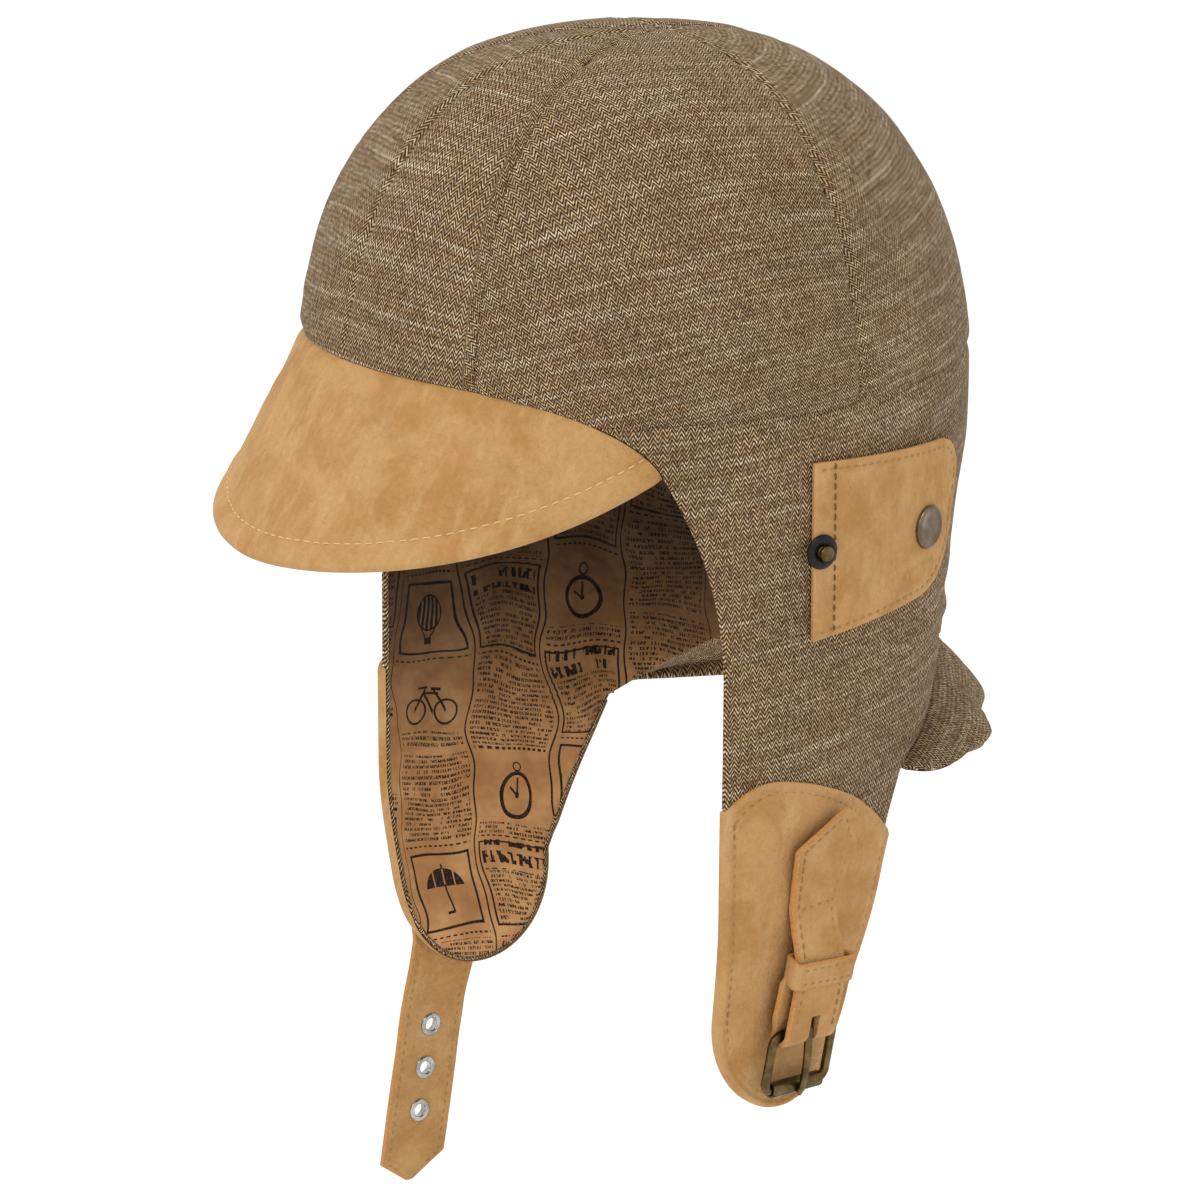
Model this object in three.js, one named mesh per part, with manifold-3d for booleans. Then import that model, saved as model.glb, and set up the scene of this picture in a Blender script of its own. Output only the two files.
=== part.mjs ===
// Aviator hat: a panelled herringbone cap with a suede peak, two ear flaps, a gathered neck flap,
// a printed lining, snap tabs and a chin strap that buckles under the chin.
// Millimetres, +Z up. The face looks along -Y and the wearer's left ear is on +X.
// The origin is the middle of the head opening, level with the foot of the dome.

import * as THREE from "three";
import { mergeVertices } from "three/addons/utils/BufferGeometryUtils.js";
import Module from "manifold-3d";

// Head form: the oval at the foot of the dome and the dome's height
const HEAD_HALF_WIDTH = 89.5;
const HEAD_HALF_LENGTH = 100.6;
const DOME_HEIGHT = 106.6;
const DOME_SIDE_POWER = 2.28; // how late the side leans in
const DOME_TOP_POWER = 2.56; // how flat the top is
const DOME_TOP_FORWARD = 4.4; // the highest point lies this far in front of the middle
const SEAM_MEETING_BACK = 9; // the crown seams meet this far behind the middle

// Walls and gaps
const CLOTH = 1.4;
const LINING = 1.0;
const SUEDE = 1.8;
const PEAK_THICKNESS = 3.0;
const GAP = 0.3;
const LINING_GAP = 0.5;
const PATCH_GAP = 0.4;

// Crown and sides
const CROWN_SEAM_ANGLES = [0, 30.5, 99.5, 180]; // degrees round from the front, the same on both sides
const SIDE_SEAM_HEIGHT = 13.3;
const WAIST_DEPTH = 8; // how far the strap pulls the back in
const WAIST_HEIGHT = -74;
const WAIST_START_ANGLE = 112;
const WAIST_FULL_ANGLE = 152;

// Peak
const PEAK_END_ANGLE = 63;
const PEAK_END_HEIGHT = -2;
const PEAK_MIDDLE_HEIGHT = 23.5;
const PEAK_LENGTH = 61.5;
const PEAK_MIDDLE_SLOPE = 57;
const PEAK_END_SLOPE = 85;

// Ear flaps
const FLAP_LENGTH = 197; // from the foot of the dome down to the tip
const FLAP_FRONT_ANGLE = 71.5;
const FLAP_REAR_ANGLE = 104;
const FLAP_SWAY = 2; // degrees that the left flap sits further back and the right one further forward
const FLAP_FRONT_CURVE = 60; // height over which the front edge swings back from the peak
const FLAP_TIP_ROUND = 32;
const FLAP_TURN = 9; // how far the rear edge is turned in
const FLAP_TIP_LEAN = 9; // how far the tip leans in
const FLAP_TURN_HEIGHT = -60;
const FLAP_LEAN_HEIGHT = -130;

// Neck flap
const NECK_SEAM_TOP = -79;
const NECK_SEAM_FOOT = -111;
const NECK_FOOT_ANGLE = 116;
const NECK_HEM = -112;
const NECK_TILT = 8; // the neck flap's foot sits this much higher on the left and lower on the right
const NECK_FLARE = 17;
const NECK_FOLD_DEPTH = 2.4;
const NECK_FOLDS = 6;

// Suede patches on the flap tips
const PATCH_TOP = -96;
const PATCH_FRONT_DROP = 6; // how far the arc of its top edge falls to its front end
const PATCH_REAR_DROP = 25;
const PATCH_INSET = 0.6;

// Snap tabs
const TAB_FRONT_ANGLE = 88.7;
const TAB_REAR_ANGLE = 125;
const TAB_TOP = -1;
const TAB_BOTTOM = -53;
const TAB_TOP_DROP = 4; // fall of the top edge towards the rear
const TAB_BOTTOM_RISE = 7; // rise of the bottom edge towards the rear
const TAB_TOP_RADIUS = 10;
const TAB_BOTTOM_RADIUS = 20;
const STUD_ANGLE = 90;
const STUD_HEIGHT = -26.7;
const STUD_POST_RADIUS = 1.9;
const STUD_POST_LENGTH = 3.2;
const WASHER_RADIUS = 5;
const WASHER_THICKNESS = 1.2;
const CAP_ANGLE = 114.4;
const CAP_HEIGHT = -28.2;
const CAP_RADIUS = 6.25;
const CAP_THICKNESS = 1.4;

// Chin strap, buckle side
const STRAP_THICKNESS = 1.9;
const BUCKLE_STRAP_WIDTH = 25;
const BUCKLE_STRAP_END_WIDTH = 21; // its width at the buckle's bar
const BUCKLE_STRAP_TOP = -104;
const BUCKLE_STRAP_ANGLE = 89.5;
const BUCKLE_STRAP_SLANT = 4; // degrees that the strap's top leans to the rear
const BUCKLE_STRAP_POINT = 11;
const BUCKLE_STRAP_LIFT = 5.5;
const BUCKLE_STRAP_CROSS_STITCH = -132;
const KEEPER_HEIGHT = -150.5;
const KEEPER_LENGTH = 8;
const BUCKLE_CENTRE_HEIGHT = -179.5;
const BUCKLE_LENGTH = 20;
const BUCKLE_SIDE_CLEARANCE = 0.5; // between the strap and the frame on each side
const BUCKLE_WIRE = 2.6;
const BUCKLE_CORNER = 3.2;
const ROLLER_RADIUS = 2.3;
const PRONG_WIRE = 2.2;

// Chin strap, eyelet side
const EYELET_STRAP_WIDTH = 24;
const EYELET_STRAP_POINT = 7;
const EYELET_STRAP_BOTTOM = -268;
const EYELET_STRAP_TOP = -150;
const EYELET_ANGLE = 81;
const EYELET_HEIGHTS = [-218.3, -232, -245.7];
const EYELET_OUTER_RADIUS = 3.6;
const EYELET_HOLE_RADIUS = 1.8;
const EYELET_FLANGE = 0.5;
const EYELET_STRAP_LEAN = 13; // the free end hangs this far forwards of the top
const EYELET_STRAP_TWIST = 6; // degrees that the free end turns towards the front

// Adjuster strap across the back
const BACK_STRAP_WIDTH = 10;
const BACK_STRAP_HEIGHT = -72;
const BACK_STRAP_END_ANGLE = 147;

// Smaller sizes
const FLAP_TURN_REACH = 75; // height over which the flaps turn in
const CROWN_COLUMN_STEP = 10; // degrees between the crown's columns at most
const LINING_COLUMN_STEP = 20;
const CROWN_TURN_SHARES = [0.66, 0.76, 0.84, 0.9, 0.95];
const CROWN_ROWS = 7;
const SIDE_COLUMNS = 10;
const FLAP_ROWS = 5;
const FLAP_TIP_ROWS = 5;
const NECK_COLUMNS_PER_STATION = 2;
const NECK_ROWS = 4;
const NECK_FLARE_POWER = 0.7; // how soon the flare comes below the seam
const NECK_END_POWER = 8; // how square the ends of the hem are
const NECK_END_SHARE = 0.3; // share of the skirt's height that is left at its ends
const PEAK_COLUMNS = 22;
const PEAK_ROWS = 4;
const PEAK_OUTLINE_POWER = 1.81;
const PEAK_OUTLINE_FALL = 0.76;
const PATCH_COLUMNS = 8;
const PATCH_ROWS = 8;
const TAB_COLUMNS = 8;
const TAB_ROWS = 4;
const TAB_LIFT = 1.2;
const KEEPER_THICKNESS = 1.5;
const BACK_LAYER_PAST_KEEPER = 10; // how far the folded end of the strap reaches above the keeper
const BACK_LAYER_RISE = 1.8;
const BACK_LAYER_LENGTH = 10;
const STRAP_POINT_SHARE = 0.12; // share of the width that is left at a pointed end
const PRONG_WIDTH = 2.6;
const SLOT_CLEARANCE = 0.8;
const SLOT_LENGTH = 8;
const CORNER_STEPS = 3;
const ROLLER_END_GAP = 0.4;
const EYELET_STRAP_RELEASE = 8; // height above the flap's tip at which the strap hangs free
const EYELET_STRAP_SPREAD = 3; // how far outwards the free end hangs
const EYELET_STRAP_HASTE = 3.2; // the free end has turned within one part in this many of its length
const EYELET_BARREL = 2.3;

const BACK_STRAP_COLUMNS = 12;
const ROUND_SIDES = 14;
const CAP_SIDES = 20;
const BODY_STEP = 0.5; // step in degrees or millimetres for measuring a slope
const PEAK_SEAM_POWER = 3.4;
const PEAK_SEAM_FALL = 0.7;
const NECK_SEAM_POWER = 1.5;
const NECK_STATIONS = 6;

const radians = THREE.MathUtils.degToRad;
const mix = THREE.MathUtils.lerp;
const clamp = THREE.MathUtils.clamp;
const ease = (share) => THREE.MathUtils.smoothstep(share, 0, 1);
const point = (x, y, z) => new THREE.Vector3(x, y, z);
const evenly = (from, to, steps) => Array.from({ length: steps + 1 }, (_, k) => mix(from, to, k / steps));

const MATERIALS = {
  herringbone: new THREE.MeshStandardMaterial({ color: 0x7a6750, roughness: 0.95, metalness: 0 }),
  suede: new THREE.MeshStandardMaterial({ color: 0xc8a069, roughness: 0.9, metalness: 0 }),
  lining: new THREE.MeshStandardMaterial({ color: 0xbe9169, roughness: 0.6, metalness: 0 }),
  brass: new THREE.MeshStandardMaterial({ color: 0x8a7444, roughness: 0.4, metalness: 1 }),
  bronze: new THREE.MeshStandardMaterial({ color: 0x8a7f70, roughness: 0.35, metalness: 1 }),
  black: new THREE.MeshStandardMaterial({ color: 0x1c1b1a, roughness: 0.5, metalness: 0.2 }),
  nickel: new THREE.MeshStandardMaterial({ color: 0xc9cbcc, roughness: 0.3, metalness: 1 }),
};

const hat = new THREE.Group();

function addPiece(name, geometry, material) {
  const mesh = new THREE.Mesh(geometry, material);
  mesh.name = name;
  hat.add(mesh);
  return mesh;
}

// Closed bodies

// Merges the corners of loose triangles, drops the collapsed ones and turns the faces outwards
function closedBody(triangles) {
  const flat = new Float32Array(triangles.length * 3);
  triangles.forEach((corner, k) => corner.toArray(flat, 3 * k));
  const loose = new THREE.BufferGeometry();
  loose.setAttribute("position", new THREE.BufferAttribute(flat, 3));
  const merged = mergeVertices(loose, 1e-4);
  const corners = merged.index.array;
  const kept = [];
  for (let k = 0; k < corners.length; k += 3) {
    const [a, b, c] = [corners[k], corners[k + 1], corners[k + 2]];
    if (a !== b && b !== c && c !== a) kept.push(a, b, c);
  }
  merged.setIndex(kept);
  return facingOut(merged);
}

function facingOut(geometry) {
  const corners = geometry.index.array;
  const at = (k) => new THREE.Vector3().fromBufferAttribute(geometry.attributes.position, corners[k]);
  let volume = 0;
  for (let k = 0; k < corners.length; k += 3) volume += at(k).dot(at(k + 1).cross(at(k + 2)));
  if (volume < 0) {
    for (let k = 0; k < corners.length; k += 3) {
      [corners[k], corners[k + 1]] = [corners[k + 1], corners[k]];
    }
  }
  geometry.computeVertexNormals();
  return geometry;
}

// A sheet between an outer and an inner face. Both are functions of a column and a row number.
function sheet(columns, rows, outer, inner, ring = false) {
  const triangles = [];
  const quad = (a, b, c, d) => triangles.push(a, b, c, a, c, d);
  for (let i = 0; i < columns; i++) {
    const next = ring ? (i + 1) % columns : i + 1;
    for (let j = 0; j < rows; j++) {
      quad(outer(i, j), outer(next, j), outer(next, j + 1), outer(i, j + 1));
      quad(inner(i, j), inner(i, j + 1), inner(next, j + 1), inner(next, j));
    }
    quad(inner(i, 0), inner(next, 0), outer(next, 0), outer(i, 0));
    quad(outer(i, rows), outer(next, rows), inner(next, rows), inner(i, rows));
  }
  if (!ring) {
    for (let j = 0; j < rows; j++) {
      quad(outer(0, j), outer(0, j + 1), inner(0, j + 1), inner(0, j));
      quad(inner(columns, j), inner(columns, j + 1), outer(columns, j + 1), outer(columns, j));
    }
  }
  return closedBody(triangles);
}

// The same piece on the wearer's other side
function mirrored(geometry) {
  const copy = geometry.clone().applyMatrix4(new THREE.Matrix4().makeScale(-1, 1, 1));
  return facingOut(copy);
}

const wasm = await Module();
wasm.setup();

function toSolid(geometry) {
  const bare = new THREE.BufferGeometry();
  bare.setAttribute("position", geometry.attributes.position.clone());
  if (geometry.index) bare.setIndex(Array.from(geometry.index.array));
  const merged = mergeVertices(bare, 1e-4);
  const mesh = new wasm.Mesh({
    numProp: 3,
    vertProperties: Float32Array.from(merged.attributes.position.array),
    triVerts: Uint32Array.from(merged.index.array),
  });
  return new wasm.Manifold(mesh);
}

function fromSolid(solid) {
  const mesh = solid.getMesh();
  const geometry = new THREE.BufferGeometry();
  geometry.setAttribute("position", new THREE.BufferAttribute(Float32Array.from(mesh.vertProperties), 3));
  geometry.setIndex(Array.from(mesh.triVerts));
  geometry.computeVertexNormals();
  return geometry;
}

// The wall of the hat. Angles are degrees round from the front, depths are measured in from its outer face.

function domeSection(z) {
  const share = clamp(z / DOME_HEIGHT, 0, 1);
  return {
    size: Math.max(1 - share ** DOME_SIDE_POWER, 0) ** (1 / DOME_TOP_POWER),
    shift: -DOME_TOP_FORWARD * share * share,
  };
}

// The angle from the front by the shorter way round
const fromFront = (angle) => 180 - Math.abs(180 - Math.abs(angle));

// How far the curtain below the dome stands in: the waist at the back, and the turned, leaning flaps
function wallInset(angle, z) {
  const back = ease((angle - WAIST_START_ANGLE) / (WAIST_FULL_ANGLE - WAIST_START_ANGLE));
  const waist = WAIST_DEPTH * back * ease(z / WAIST_HEIGHT);
  const across = clamp((angle - FLAP_FRONT_ANGLE) / (FLAP_REAR_ANGLE - FLAP_FRONT_ANGLE), 0, 1);
  const turn = FLAP_TURN * across * ease((FLAP_TURN_HEIGHT - z) / FLAP_TURN_REACH);
  const lean = FLAP_TIP_LEAN * ease((FLAP_LEAN_HEIGHT - z) / (FLAP_LENGTH + FLAP_LEAN_HEIGHT));
  return waist + turn + lean;
}

function wallFace(angle, z) {
  const { size, shift } = domeSection(z);
  const x = HEAD_HALF_WIDTH * Math.sin(radians(angle));
  const y = -HEAD_HALF_LENGTH * Math.cos(radians(angle));
  const outwards = point(x / HEAD_HALF_WIDTH ** 2, y / HEAD_HALF_LENGTH ** 2, 0).normalize();
  return point(x * size, y * size + shift, z).addScaledVector(outwards, -wallInset(fromFront(angle), z));
}

// The outward normal of a surface that is a function of an angle and a height
function faceNormal(face, angle, z) {
  const along = face(angle + BODY_STEP, z).sub(face(angle - BODY_STEP, z));
  const rise = face(angle, z + BODY_STEP).sub(face(angle, z - BODY_STEP));
  return along.cross(rise).normalize();
}

function wallPoint(angle, z, depth = 0) {
  return wallFace(angle, z).addScaledVector(faceNormal(wallFace, angle, z), -depth);
}

// Length along the wall of one degree at an angle
function degreeLength(angle, z) {
  return wallFace(angle + BODY_STEP, z).distanceTo(wallFace(angle - BODY_STEP, z)) / (2 * BODY_STEP);
}

// Seam lines

// Height of the seam between peak and cap. The clearance lifts the cap's side of it.
function peakSeamHeight(angle, clearance = 0) {
  const end = PEAK_END_ANGLE + clearance / degreeLength(PEAK_END_ANGLE, PEAK_END_HEIGHT);
  const share = clamp(Math.abs(angle) / end, 0, 1);
  const arch = (1 - share ** PEAK_SEAM_POWER) ** PEAK_SEAM_FALL;
  return mix(PEAK_END_HEIGHT, PEAK_MIDDLE_HEIGHT, arch) + clearance;
}

function peakSeamAngle(z, clearance) {
  const end = PEAK_END_ANGLE + clearance / degreeLength(PEAK_END_ANGLE, PEAK_END_HEIGHT);
  const rise = clamp((z - clearance - PEAK_END_HEIGHT) / (PEAK_MIDDLE_HEIGHT - PEAK_END_HEIGHT), 0, 1);
  return end * (1 - rise ** (1 / PEAK_SEAM_FALL)) ** (1 / PEAK_SEAM_POWER);
}

// Place of a column of the peak between its ends, from -1 to 1, closer together towards them
const peakColumnShare = (i) => Math.sin(((i / PEAK_COLUMNS) * 2 - 1) * (Math.PI / 2));

const crownRimHeight = (angle) => Math.max(peakSeamHeight(angle, GAP), SIDE_SEAM_HEIGHT + GAP / 2);

// Side is 1 on the wearer's left and -1 on the right
const neckFootHeight = (side) => NECK_SEAM_FOOT + side * NECK_TILT;

function neckSeamHeight(angle, side) {
  const share = (180 - fromFront(angle)) / (180 - NECK_FOOT_ANGLE);
  return mix(NECK_SEAM_TOP, neckFootHeight(side), share ** NECK_SEAM_POWER);
}

// Crown

const seamMeeting = { x: 0, y: SEAM_MEETING_BACK };

function domeHeightAt(x, y) {
  let low = 0;
  let high = DOME_HEIGHT;
  for (let k = 0; k < 40; k++) {
    const z = (low + high) / 2;
    const { size, shift } = domeSection(z);
    if (Math.hypot(x / HEAD_HALF_WIDTH, (y - shift) / HEAD_HALF_LENGTH) < size) low = z;
    else high = z;
  }
  return low;
}

function domeNormal(x, y, z) {
  const level = (px, py, pz) => {
    const { size, shift } = domeSection(pz);
    return Math.hypot(px / HEAD_HALF_WIDTH, (py - shift) / HEAD_HALF_LENGTH) - size;
  };
  const step = 0.01;
  return point(
    level(x + step, y, z) - level(x - step, y, z),
    level(x, y + step, z) - level(x, y - step, z),
    level(x, y, Math.min(z + step, DOME_HEIGHT)) - level(x, y, z - step),
  ).normalize();
}

// A column of the crown runs from the meeting of the seams straight out to a foot on the oval.
// Its points are spaced by the sine of a sweep, so that they crowd where the dome is steep.
function crownColumn(start, footAngle, rows, depth) {
  const foot = {
    x: HEAD_HALF_WIDTH * Math.sin(radians(footAngle)),
    y: -HEAD_HALF_LENGTH * Math.cos(radians(footAngle)),
  };
  const at = (sweep) => {
    const x = mix(start.x, foot.x, Math.sin(sweep));
    const y = mix(start.y, foot.y, Math.sin(sweep));
    return point(x, y, domeHeightAt(x, y));
  };
  const aboveRim = (p) => {
    const { size, shift } = domeSection(p.z);
    const angle = Math.atan2(p.x / HEAD_HALF_WIDTH, -(p.y - shift) / HEAD_HALF_LENGTH);
    return size === 0 || p.z > crownRimHeight(THREE.MathUtils.radToDeg(angle));
  };
  let low = 0;
  let high = Math.PI / 2;
  for (let k = 0; k < 40; k++) {
    const sweep = (low + high) / 2;
    if (aboveRim(at(sweep))) low = sweep;
    else high = sweep;
  }
  return evenly(0, low, rows).map((sweep) => {
    const p = at(sweep);
    return p.addScaledVector(domeNormal(p.x, p.y, p.z), -depth);
  });
}

// Foot angles of the columns between two seams, crowded where the rim turns down beside the peak
function crownStations(from, to, step) {
  const spread = evenly(from, to, Math.ceil((to - from) / step));
  const turnDown = CROWN_TURN_SHARES.map((share) => share * PEAK_END_ANGLE);
  const [first, last] = [turnDown[0], turnDown.at(-1)];
  if (from > first || to < last) return spread;
  const clearOf = (angle) => angle === from || angle === to || angle < first - 2 || angle > last + 2;
  return [...spread.filter(clearOf), ...turnDown].sort((a, b) => a - b);
}

function crownPanel(from, to) {
  const inset = GAP / 2;
  const stations = crownStations(from, to, CROWN_COLUMN_STEP);
  const startInset = inset / degreeLength(from, 0);
  const endInset = inset / degreeLength(to, 0);
  stations[0] = from + startInset;
  stations[stations.length - 1] = to - endInset;
  const direction = (angle) => {
    const foot = wallFace(angle, 0);
    return new THREE.Vector2(foot.x - seamMeeting.x, foot.y - seamMeeting.y).normalize();
  };
  const [first, last] = [direction(from), direction(to)];
  const bisector = first.clone().add(last).normalize();
  const halfAngle = Math.acos(clamp(first.dot(last), -1, 1)) / 2;
  const start = {
    x: seamMeeting.x + (bisector.x * inset) / Math.sin(halfAngle),
    y: seamMeeting.y + (bisector.y * inset) / Math.sin(halfAngle),
  };
  const outer = stations.map((angle) => crownColumn(start, angle, CROWN_ROWS, 0));
  const inner = stations.map((angle) => crownColumn(start, angle, CROWN_ROWS, CLOTH));
  return sheet(stations.length - 1, CROWN_ROWS, (i, j) => outer[i][j], (i, j) => inner[i][j]);
}

const CROWN_PANEL_NAMES = ["front", "side", "rear"];
CROWN_PANEL_NAMES.forEach((name, k) => {
  const panel = crownPanel(CROWN_SEAM_ANGLES[k], CROWN_SEAM_ANGLES[k + 1]);
  addPiece(`crown_panel_${name}_left`, panel, MATERIALS.herringbone);
  addPiece(`crown_panel_${name}_right`, mirrored(panel), MATERIALS.herringbone);
});

function crownLining() {
  const half = CROWN_PANEL_NAMES.flatMap((_, k) =>
    crownStations(CROWN_SEAM_ANGLES[k], CROWN_SEAM_ANGLES[k + 1], LINING_COLUMN_STEP).slice(0, -1));
  const round = [...half, 180, ...half.slice(1).reverse().map((angle) => -angle)];
  const depth = CLOTH + LINING_GAP;
  const outer = round.map((angle) => crownColumn(seamMeeting, angle, CROWN_ROWS, depth));
  const inner = round.map((angle) => crownColumn(seamMeeting, angle, CROWN_ROWS, depth + LINING));
  return sheet(round.length, CROWN_ROWS, (i, j) => outer[i][j], (i, j) => inner[i][j], true);
}
addPiece("lining_crown", crownLining(), MATERIALS.lining);

// Side panels: the wall below the side seam, the ear flap and the half of the back above the neck flap

const flapTipTop = -FLAP_LENGTH + FLAP_TIP_ROUND;

// Share of the flap's width that is left where its tip is rounded
function tipShare(z) {
  const into = clamp((flapTipTop - z) / FLAP_TIP_ROUND, 0, 1);
  return Math.sqrt(1 - into * into);
}

const flapMiddleAngle = (side) => (FLAP_FRONT_ANGLE + FLAP_REAR_ANGLE) / 2 + side * FLAP_SWAY;

function sideFrontAngle(z, side) {
  if (z > PEAK_END_HEIGHT + GAP) return peakSeamAngle(z, GAP);
  const start = peakSeamAngle(PEAK_END_HEIGHT, GAP);
  const below = clamp((PEAK_END_HEIGHT + GAP - z) / FLAP_FRONT_CURVE, 0, 1);
  const edge = mix(FLAP_FRONT_ANGLE + side * FLAP_SWAY, start, (1 - below) ** 2);
  return mix(flapMiddleAngle(side), edge, tipShare(z));
}

function flapRearAngle(z, side) {
  const foot = neckFootHeight(side);
  const down = clamp((foot - z) / (foot - flapTipTop), 0, 1);
  const edge = mix(NECK_FOOT_ANGLE, FLAP_REAR_ANGLE + side * FLAP_SWAY, down);
  return mix(flapMiddleAngle(side), edge, tipShare(z));
}

function sideRearAngle(z, side) {
  const foot = neckFootHeight(side);
  if (z >= NECK_SEAM_TOP) return 180;
  if (z < foot) return flapRearAngle(z, side);
  const share = (NECK_SEAM_TOP - z) / (NECK_SEAM_TOP - foot);
  return mix(180, NECK_FOOT_ANGLE, share ** (1 / NECK_SEAM_POWER));
}

const neckStations = evenly(180, NECK_FOOT_ANGLE, NECK_STATIONS);

const sideRows = (side) => [
  SIDE_SEAM_HEIGHT - GAP / 2,
  ...[3, 2, 1, 0].map((k) => peakSeamHeight(peakColumnShare(PEAK_COLUMNS - k) * PEAK_END_ANGLE) + GAP),
  ...evenly(PEAK_END_HEIGHT + GAP, NECK_SEAM_TOP, 5).slice(1),
  ...neckStations.slice(1).map((angle) => neckSeamHeight(angle, side)),
  ...evenly(neckFootHeight(side), flapTipTop, FLAP_ROWS).slice(1),
  ...evenly(0, Math.PI / 2, FLAP_TIP_ROWS).slice(1)
    .map((turn) => flapTipTop - FLAP_TIP_ROUND * Math.sin(turn)),
];

// A side piece is worked out on the left. The right one is then mirrored.
function sidePanel(side, depth, thickness) {
  const heights = sideRows(side);
  const at = (i, j, deep) => {
    const z = heights[j];
    const rear = sideRearAngle(z, side) - (GAP / 2) / degreeLength(180, z);
    return wallPoint(mix(sideFrontAngle(z, side), rear, i / SIDE_COLUMNS), z, deep);
  };
  const rows = heights.length - 1;
  return sheet(SIDE_COLUMNS, rows, (i, j) => at(i, j, depth), (i, j) => at(i, j, depth + thickness));
}

const liningDepth = CLOTH + LINING_GAP;
addPiece("side_panel_left", sidePanel(1, 0, CLOTH), MATERIALS.herringbone);
addPiece("side_panel_right", mirrored(sidePanel(-1, 0, CLOTH)), MATERIALS.herringbone);
addPiece("lining_left", sidePanel(1, liningDepth, LINING), MATERIALS.lining);
addPiece("lining_right", mirrored(sidePanel(-1, liningDepth, LINING)), MATERIALS.lining);

// Neck flap: a skirt on the neck seam that flares to its hem in soft folds

function neckFlap() {
  const columns = 2 * NECK_STATIONS * NECK_COLUMNS_PER_STATION;
  const reach = 180 - NECK_FOOT_ANGLE;
  const sideOf = (angle) => (angle < 180 ? 1 : -1);
  const seamAt = (angle) => wallPoint(angle, neckSeamHeight(angle, sideOf(angle)) - GAP);
  const seamFace = (i) => {
    const station = Math.floor(i / NECK_COLUMNS_PER_STATION);
    const share = i / NECK_COLUMNS_PER_STATION - station;
    const angleOf = (k) => NECK_FOOT_ANGLE + (k * reach) / NECK_STATIONS;
    const here = seamAt(angleOf(station));
    return share === 0 ? here : here.lerp(seamAt(angleOf(station + 1)), share);
  };
  const at = (i, j, depth) => {
    const angle = NECK_FOOT_ANGLE + (2 * reach * i) / columns;
    const side = Math.abs(angle - 180) / reach;
    const down = j / NECK_ROWS;
    const fullness = Math.sqrt(1 - side ** NECK_END_POWER);
    const seam = seamFace(i);
    const hem = NECK_HEM + (NECK_TILT * (180 - angle)) / reach;
    const drop = (seam.z - hem) * mix(NECK_END_SHARE, 1, fullness);
    const fold = NECK_FOLD_DEPTH * Math.cos(2 * Math.PI * NECK_FOLDS * (angle - 180) / (2 * reach));
    const flare = fullness * (NECK_FLARE * Math.sin((down * Math.PI) / 2) ** NECK_FLARE_POWER + fold * down);
    const outwards = faceNormal(wallFace, angle, seam.z).setZ(0).normalize();
    return seam.addScaledVector(outwards, flare - depth).setZ(seam.z - drop * down);
  };
  return sheet(columns, NECK_ROWS, (i, j) => at(i, j, 0), (i, j) => at(i, j, CLOTH));
}
addPiece("neck_flap", neckFlap(), MATERIALS.herringbone);

// Peak

function peakGeometry() {
  const at = (i, j, depth) => {
    const share = peakColumnShare(i);
    const angle = share * PEAK_END_ANGLE;
    const out = j / PEAK_ROWS;
    const seam = wallPoint(angle, peakSeamHeight(angle), CLOTH / 2);
    const slope = radians(mix(PEAK_MIDDLE_SLOPE, PEAK_END_SLOPE, share * share));
    const length = PEAK_LENGTH * (1 - Math.abs(share) ** PEAK_OUTLINE_POWER) ** PEAK_OUTLINE_FALL;
    const level = faceNormal(wallFace, angle, 0).setZ(0).normalize();
    const along = level.clone().multiplyScalar(Math.cos(slope)).setZ(-Math.sin(slope));
    const normal = level.clone().multiplyScalar(Math.sin(slope)).setZ(Math.cos(slope));
    return seam.addScaledVector(along, length * out).addScaledVector(normal, -depth);
  };
  return sheet(PEAK_COLUMNS, PEAK_ROWS, (i, j) => at(i, j, 0), (i, j) => at(i, j, PEAK_THICKNESS));
}
addPiece("peak", peakGeometry(), MATERIALS.suede);

// Suede patches on the flap tips

const patchFace = PATCH_GAP + SUEDE;

function flapPatch(side) {
  const at = (i, j, depth) => {
    const across = i / PATCH_COLUMNS;
    const fall = across < 0.5 ? PATCH_FRONT_DROP : PATCH_REAR_DROP;
    const top = PATCH_TOP - fall * (2 * across - 1) ** 2;
    const bottom = -FLAP_LENGTH + PATCH_INSET;
    const z = mix(top, bottom, Math.sin((j / PATCH_ROWS) * (Math.PI / 2)));
    const inset = PATCH_INSET / degreeLength(FLAP_FRONT_ANGLE, z);
    const middle = flapMiddleAngle(side);
    const front = Math.min(sideFrontAngle(z, side) + inset, middle);
    const rear = Math.max(flapRearAngle(z, side) - inset, middle);
    return wallPoint(mix(front, rear, across), z, depth);
  };
  const [outside, inside] = [-patchFace, -PATCH_GAP];
  return sheet(PATCH_COLUMNS, PATCH_ROWS, (i, j) => at(i, j, outside), (i, j) => at(i, j, inside));
}
addPiece("flap_patch_left", flapPatch(1), MATERIALS.suede);
addPiece("flap_patch_right", mirrored(flapPatch(-1)), MATERIALS.suede);

// Snap tabs

// How far the tab stands off the wall: close at its sewn front edge, a little proud at its free end
function tabStandOff(angle) {
  return GAP + TAB_LIFT * ease((angle - TAB_FRONT_ANGLE) / (TAB_REAR_ANGLE - TAB_FRONT_ANGLE));
}

function tabFace(angle, z) {
  return wallPoint(angle, z, -tabStandOff(angle) - SUEDE);
}

const cornerFall = (radius, fromEnd) => {
  const into = clamp(radius - fromEnd, 0, radius);
  return radius - Math.sqrt(radius * radius - into * into);
};

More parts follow.
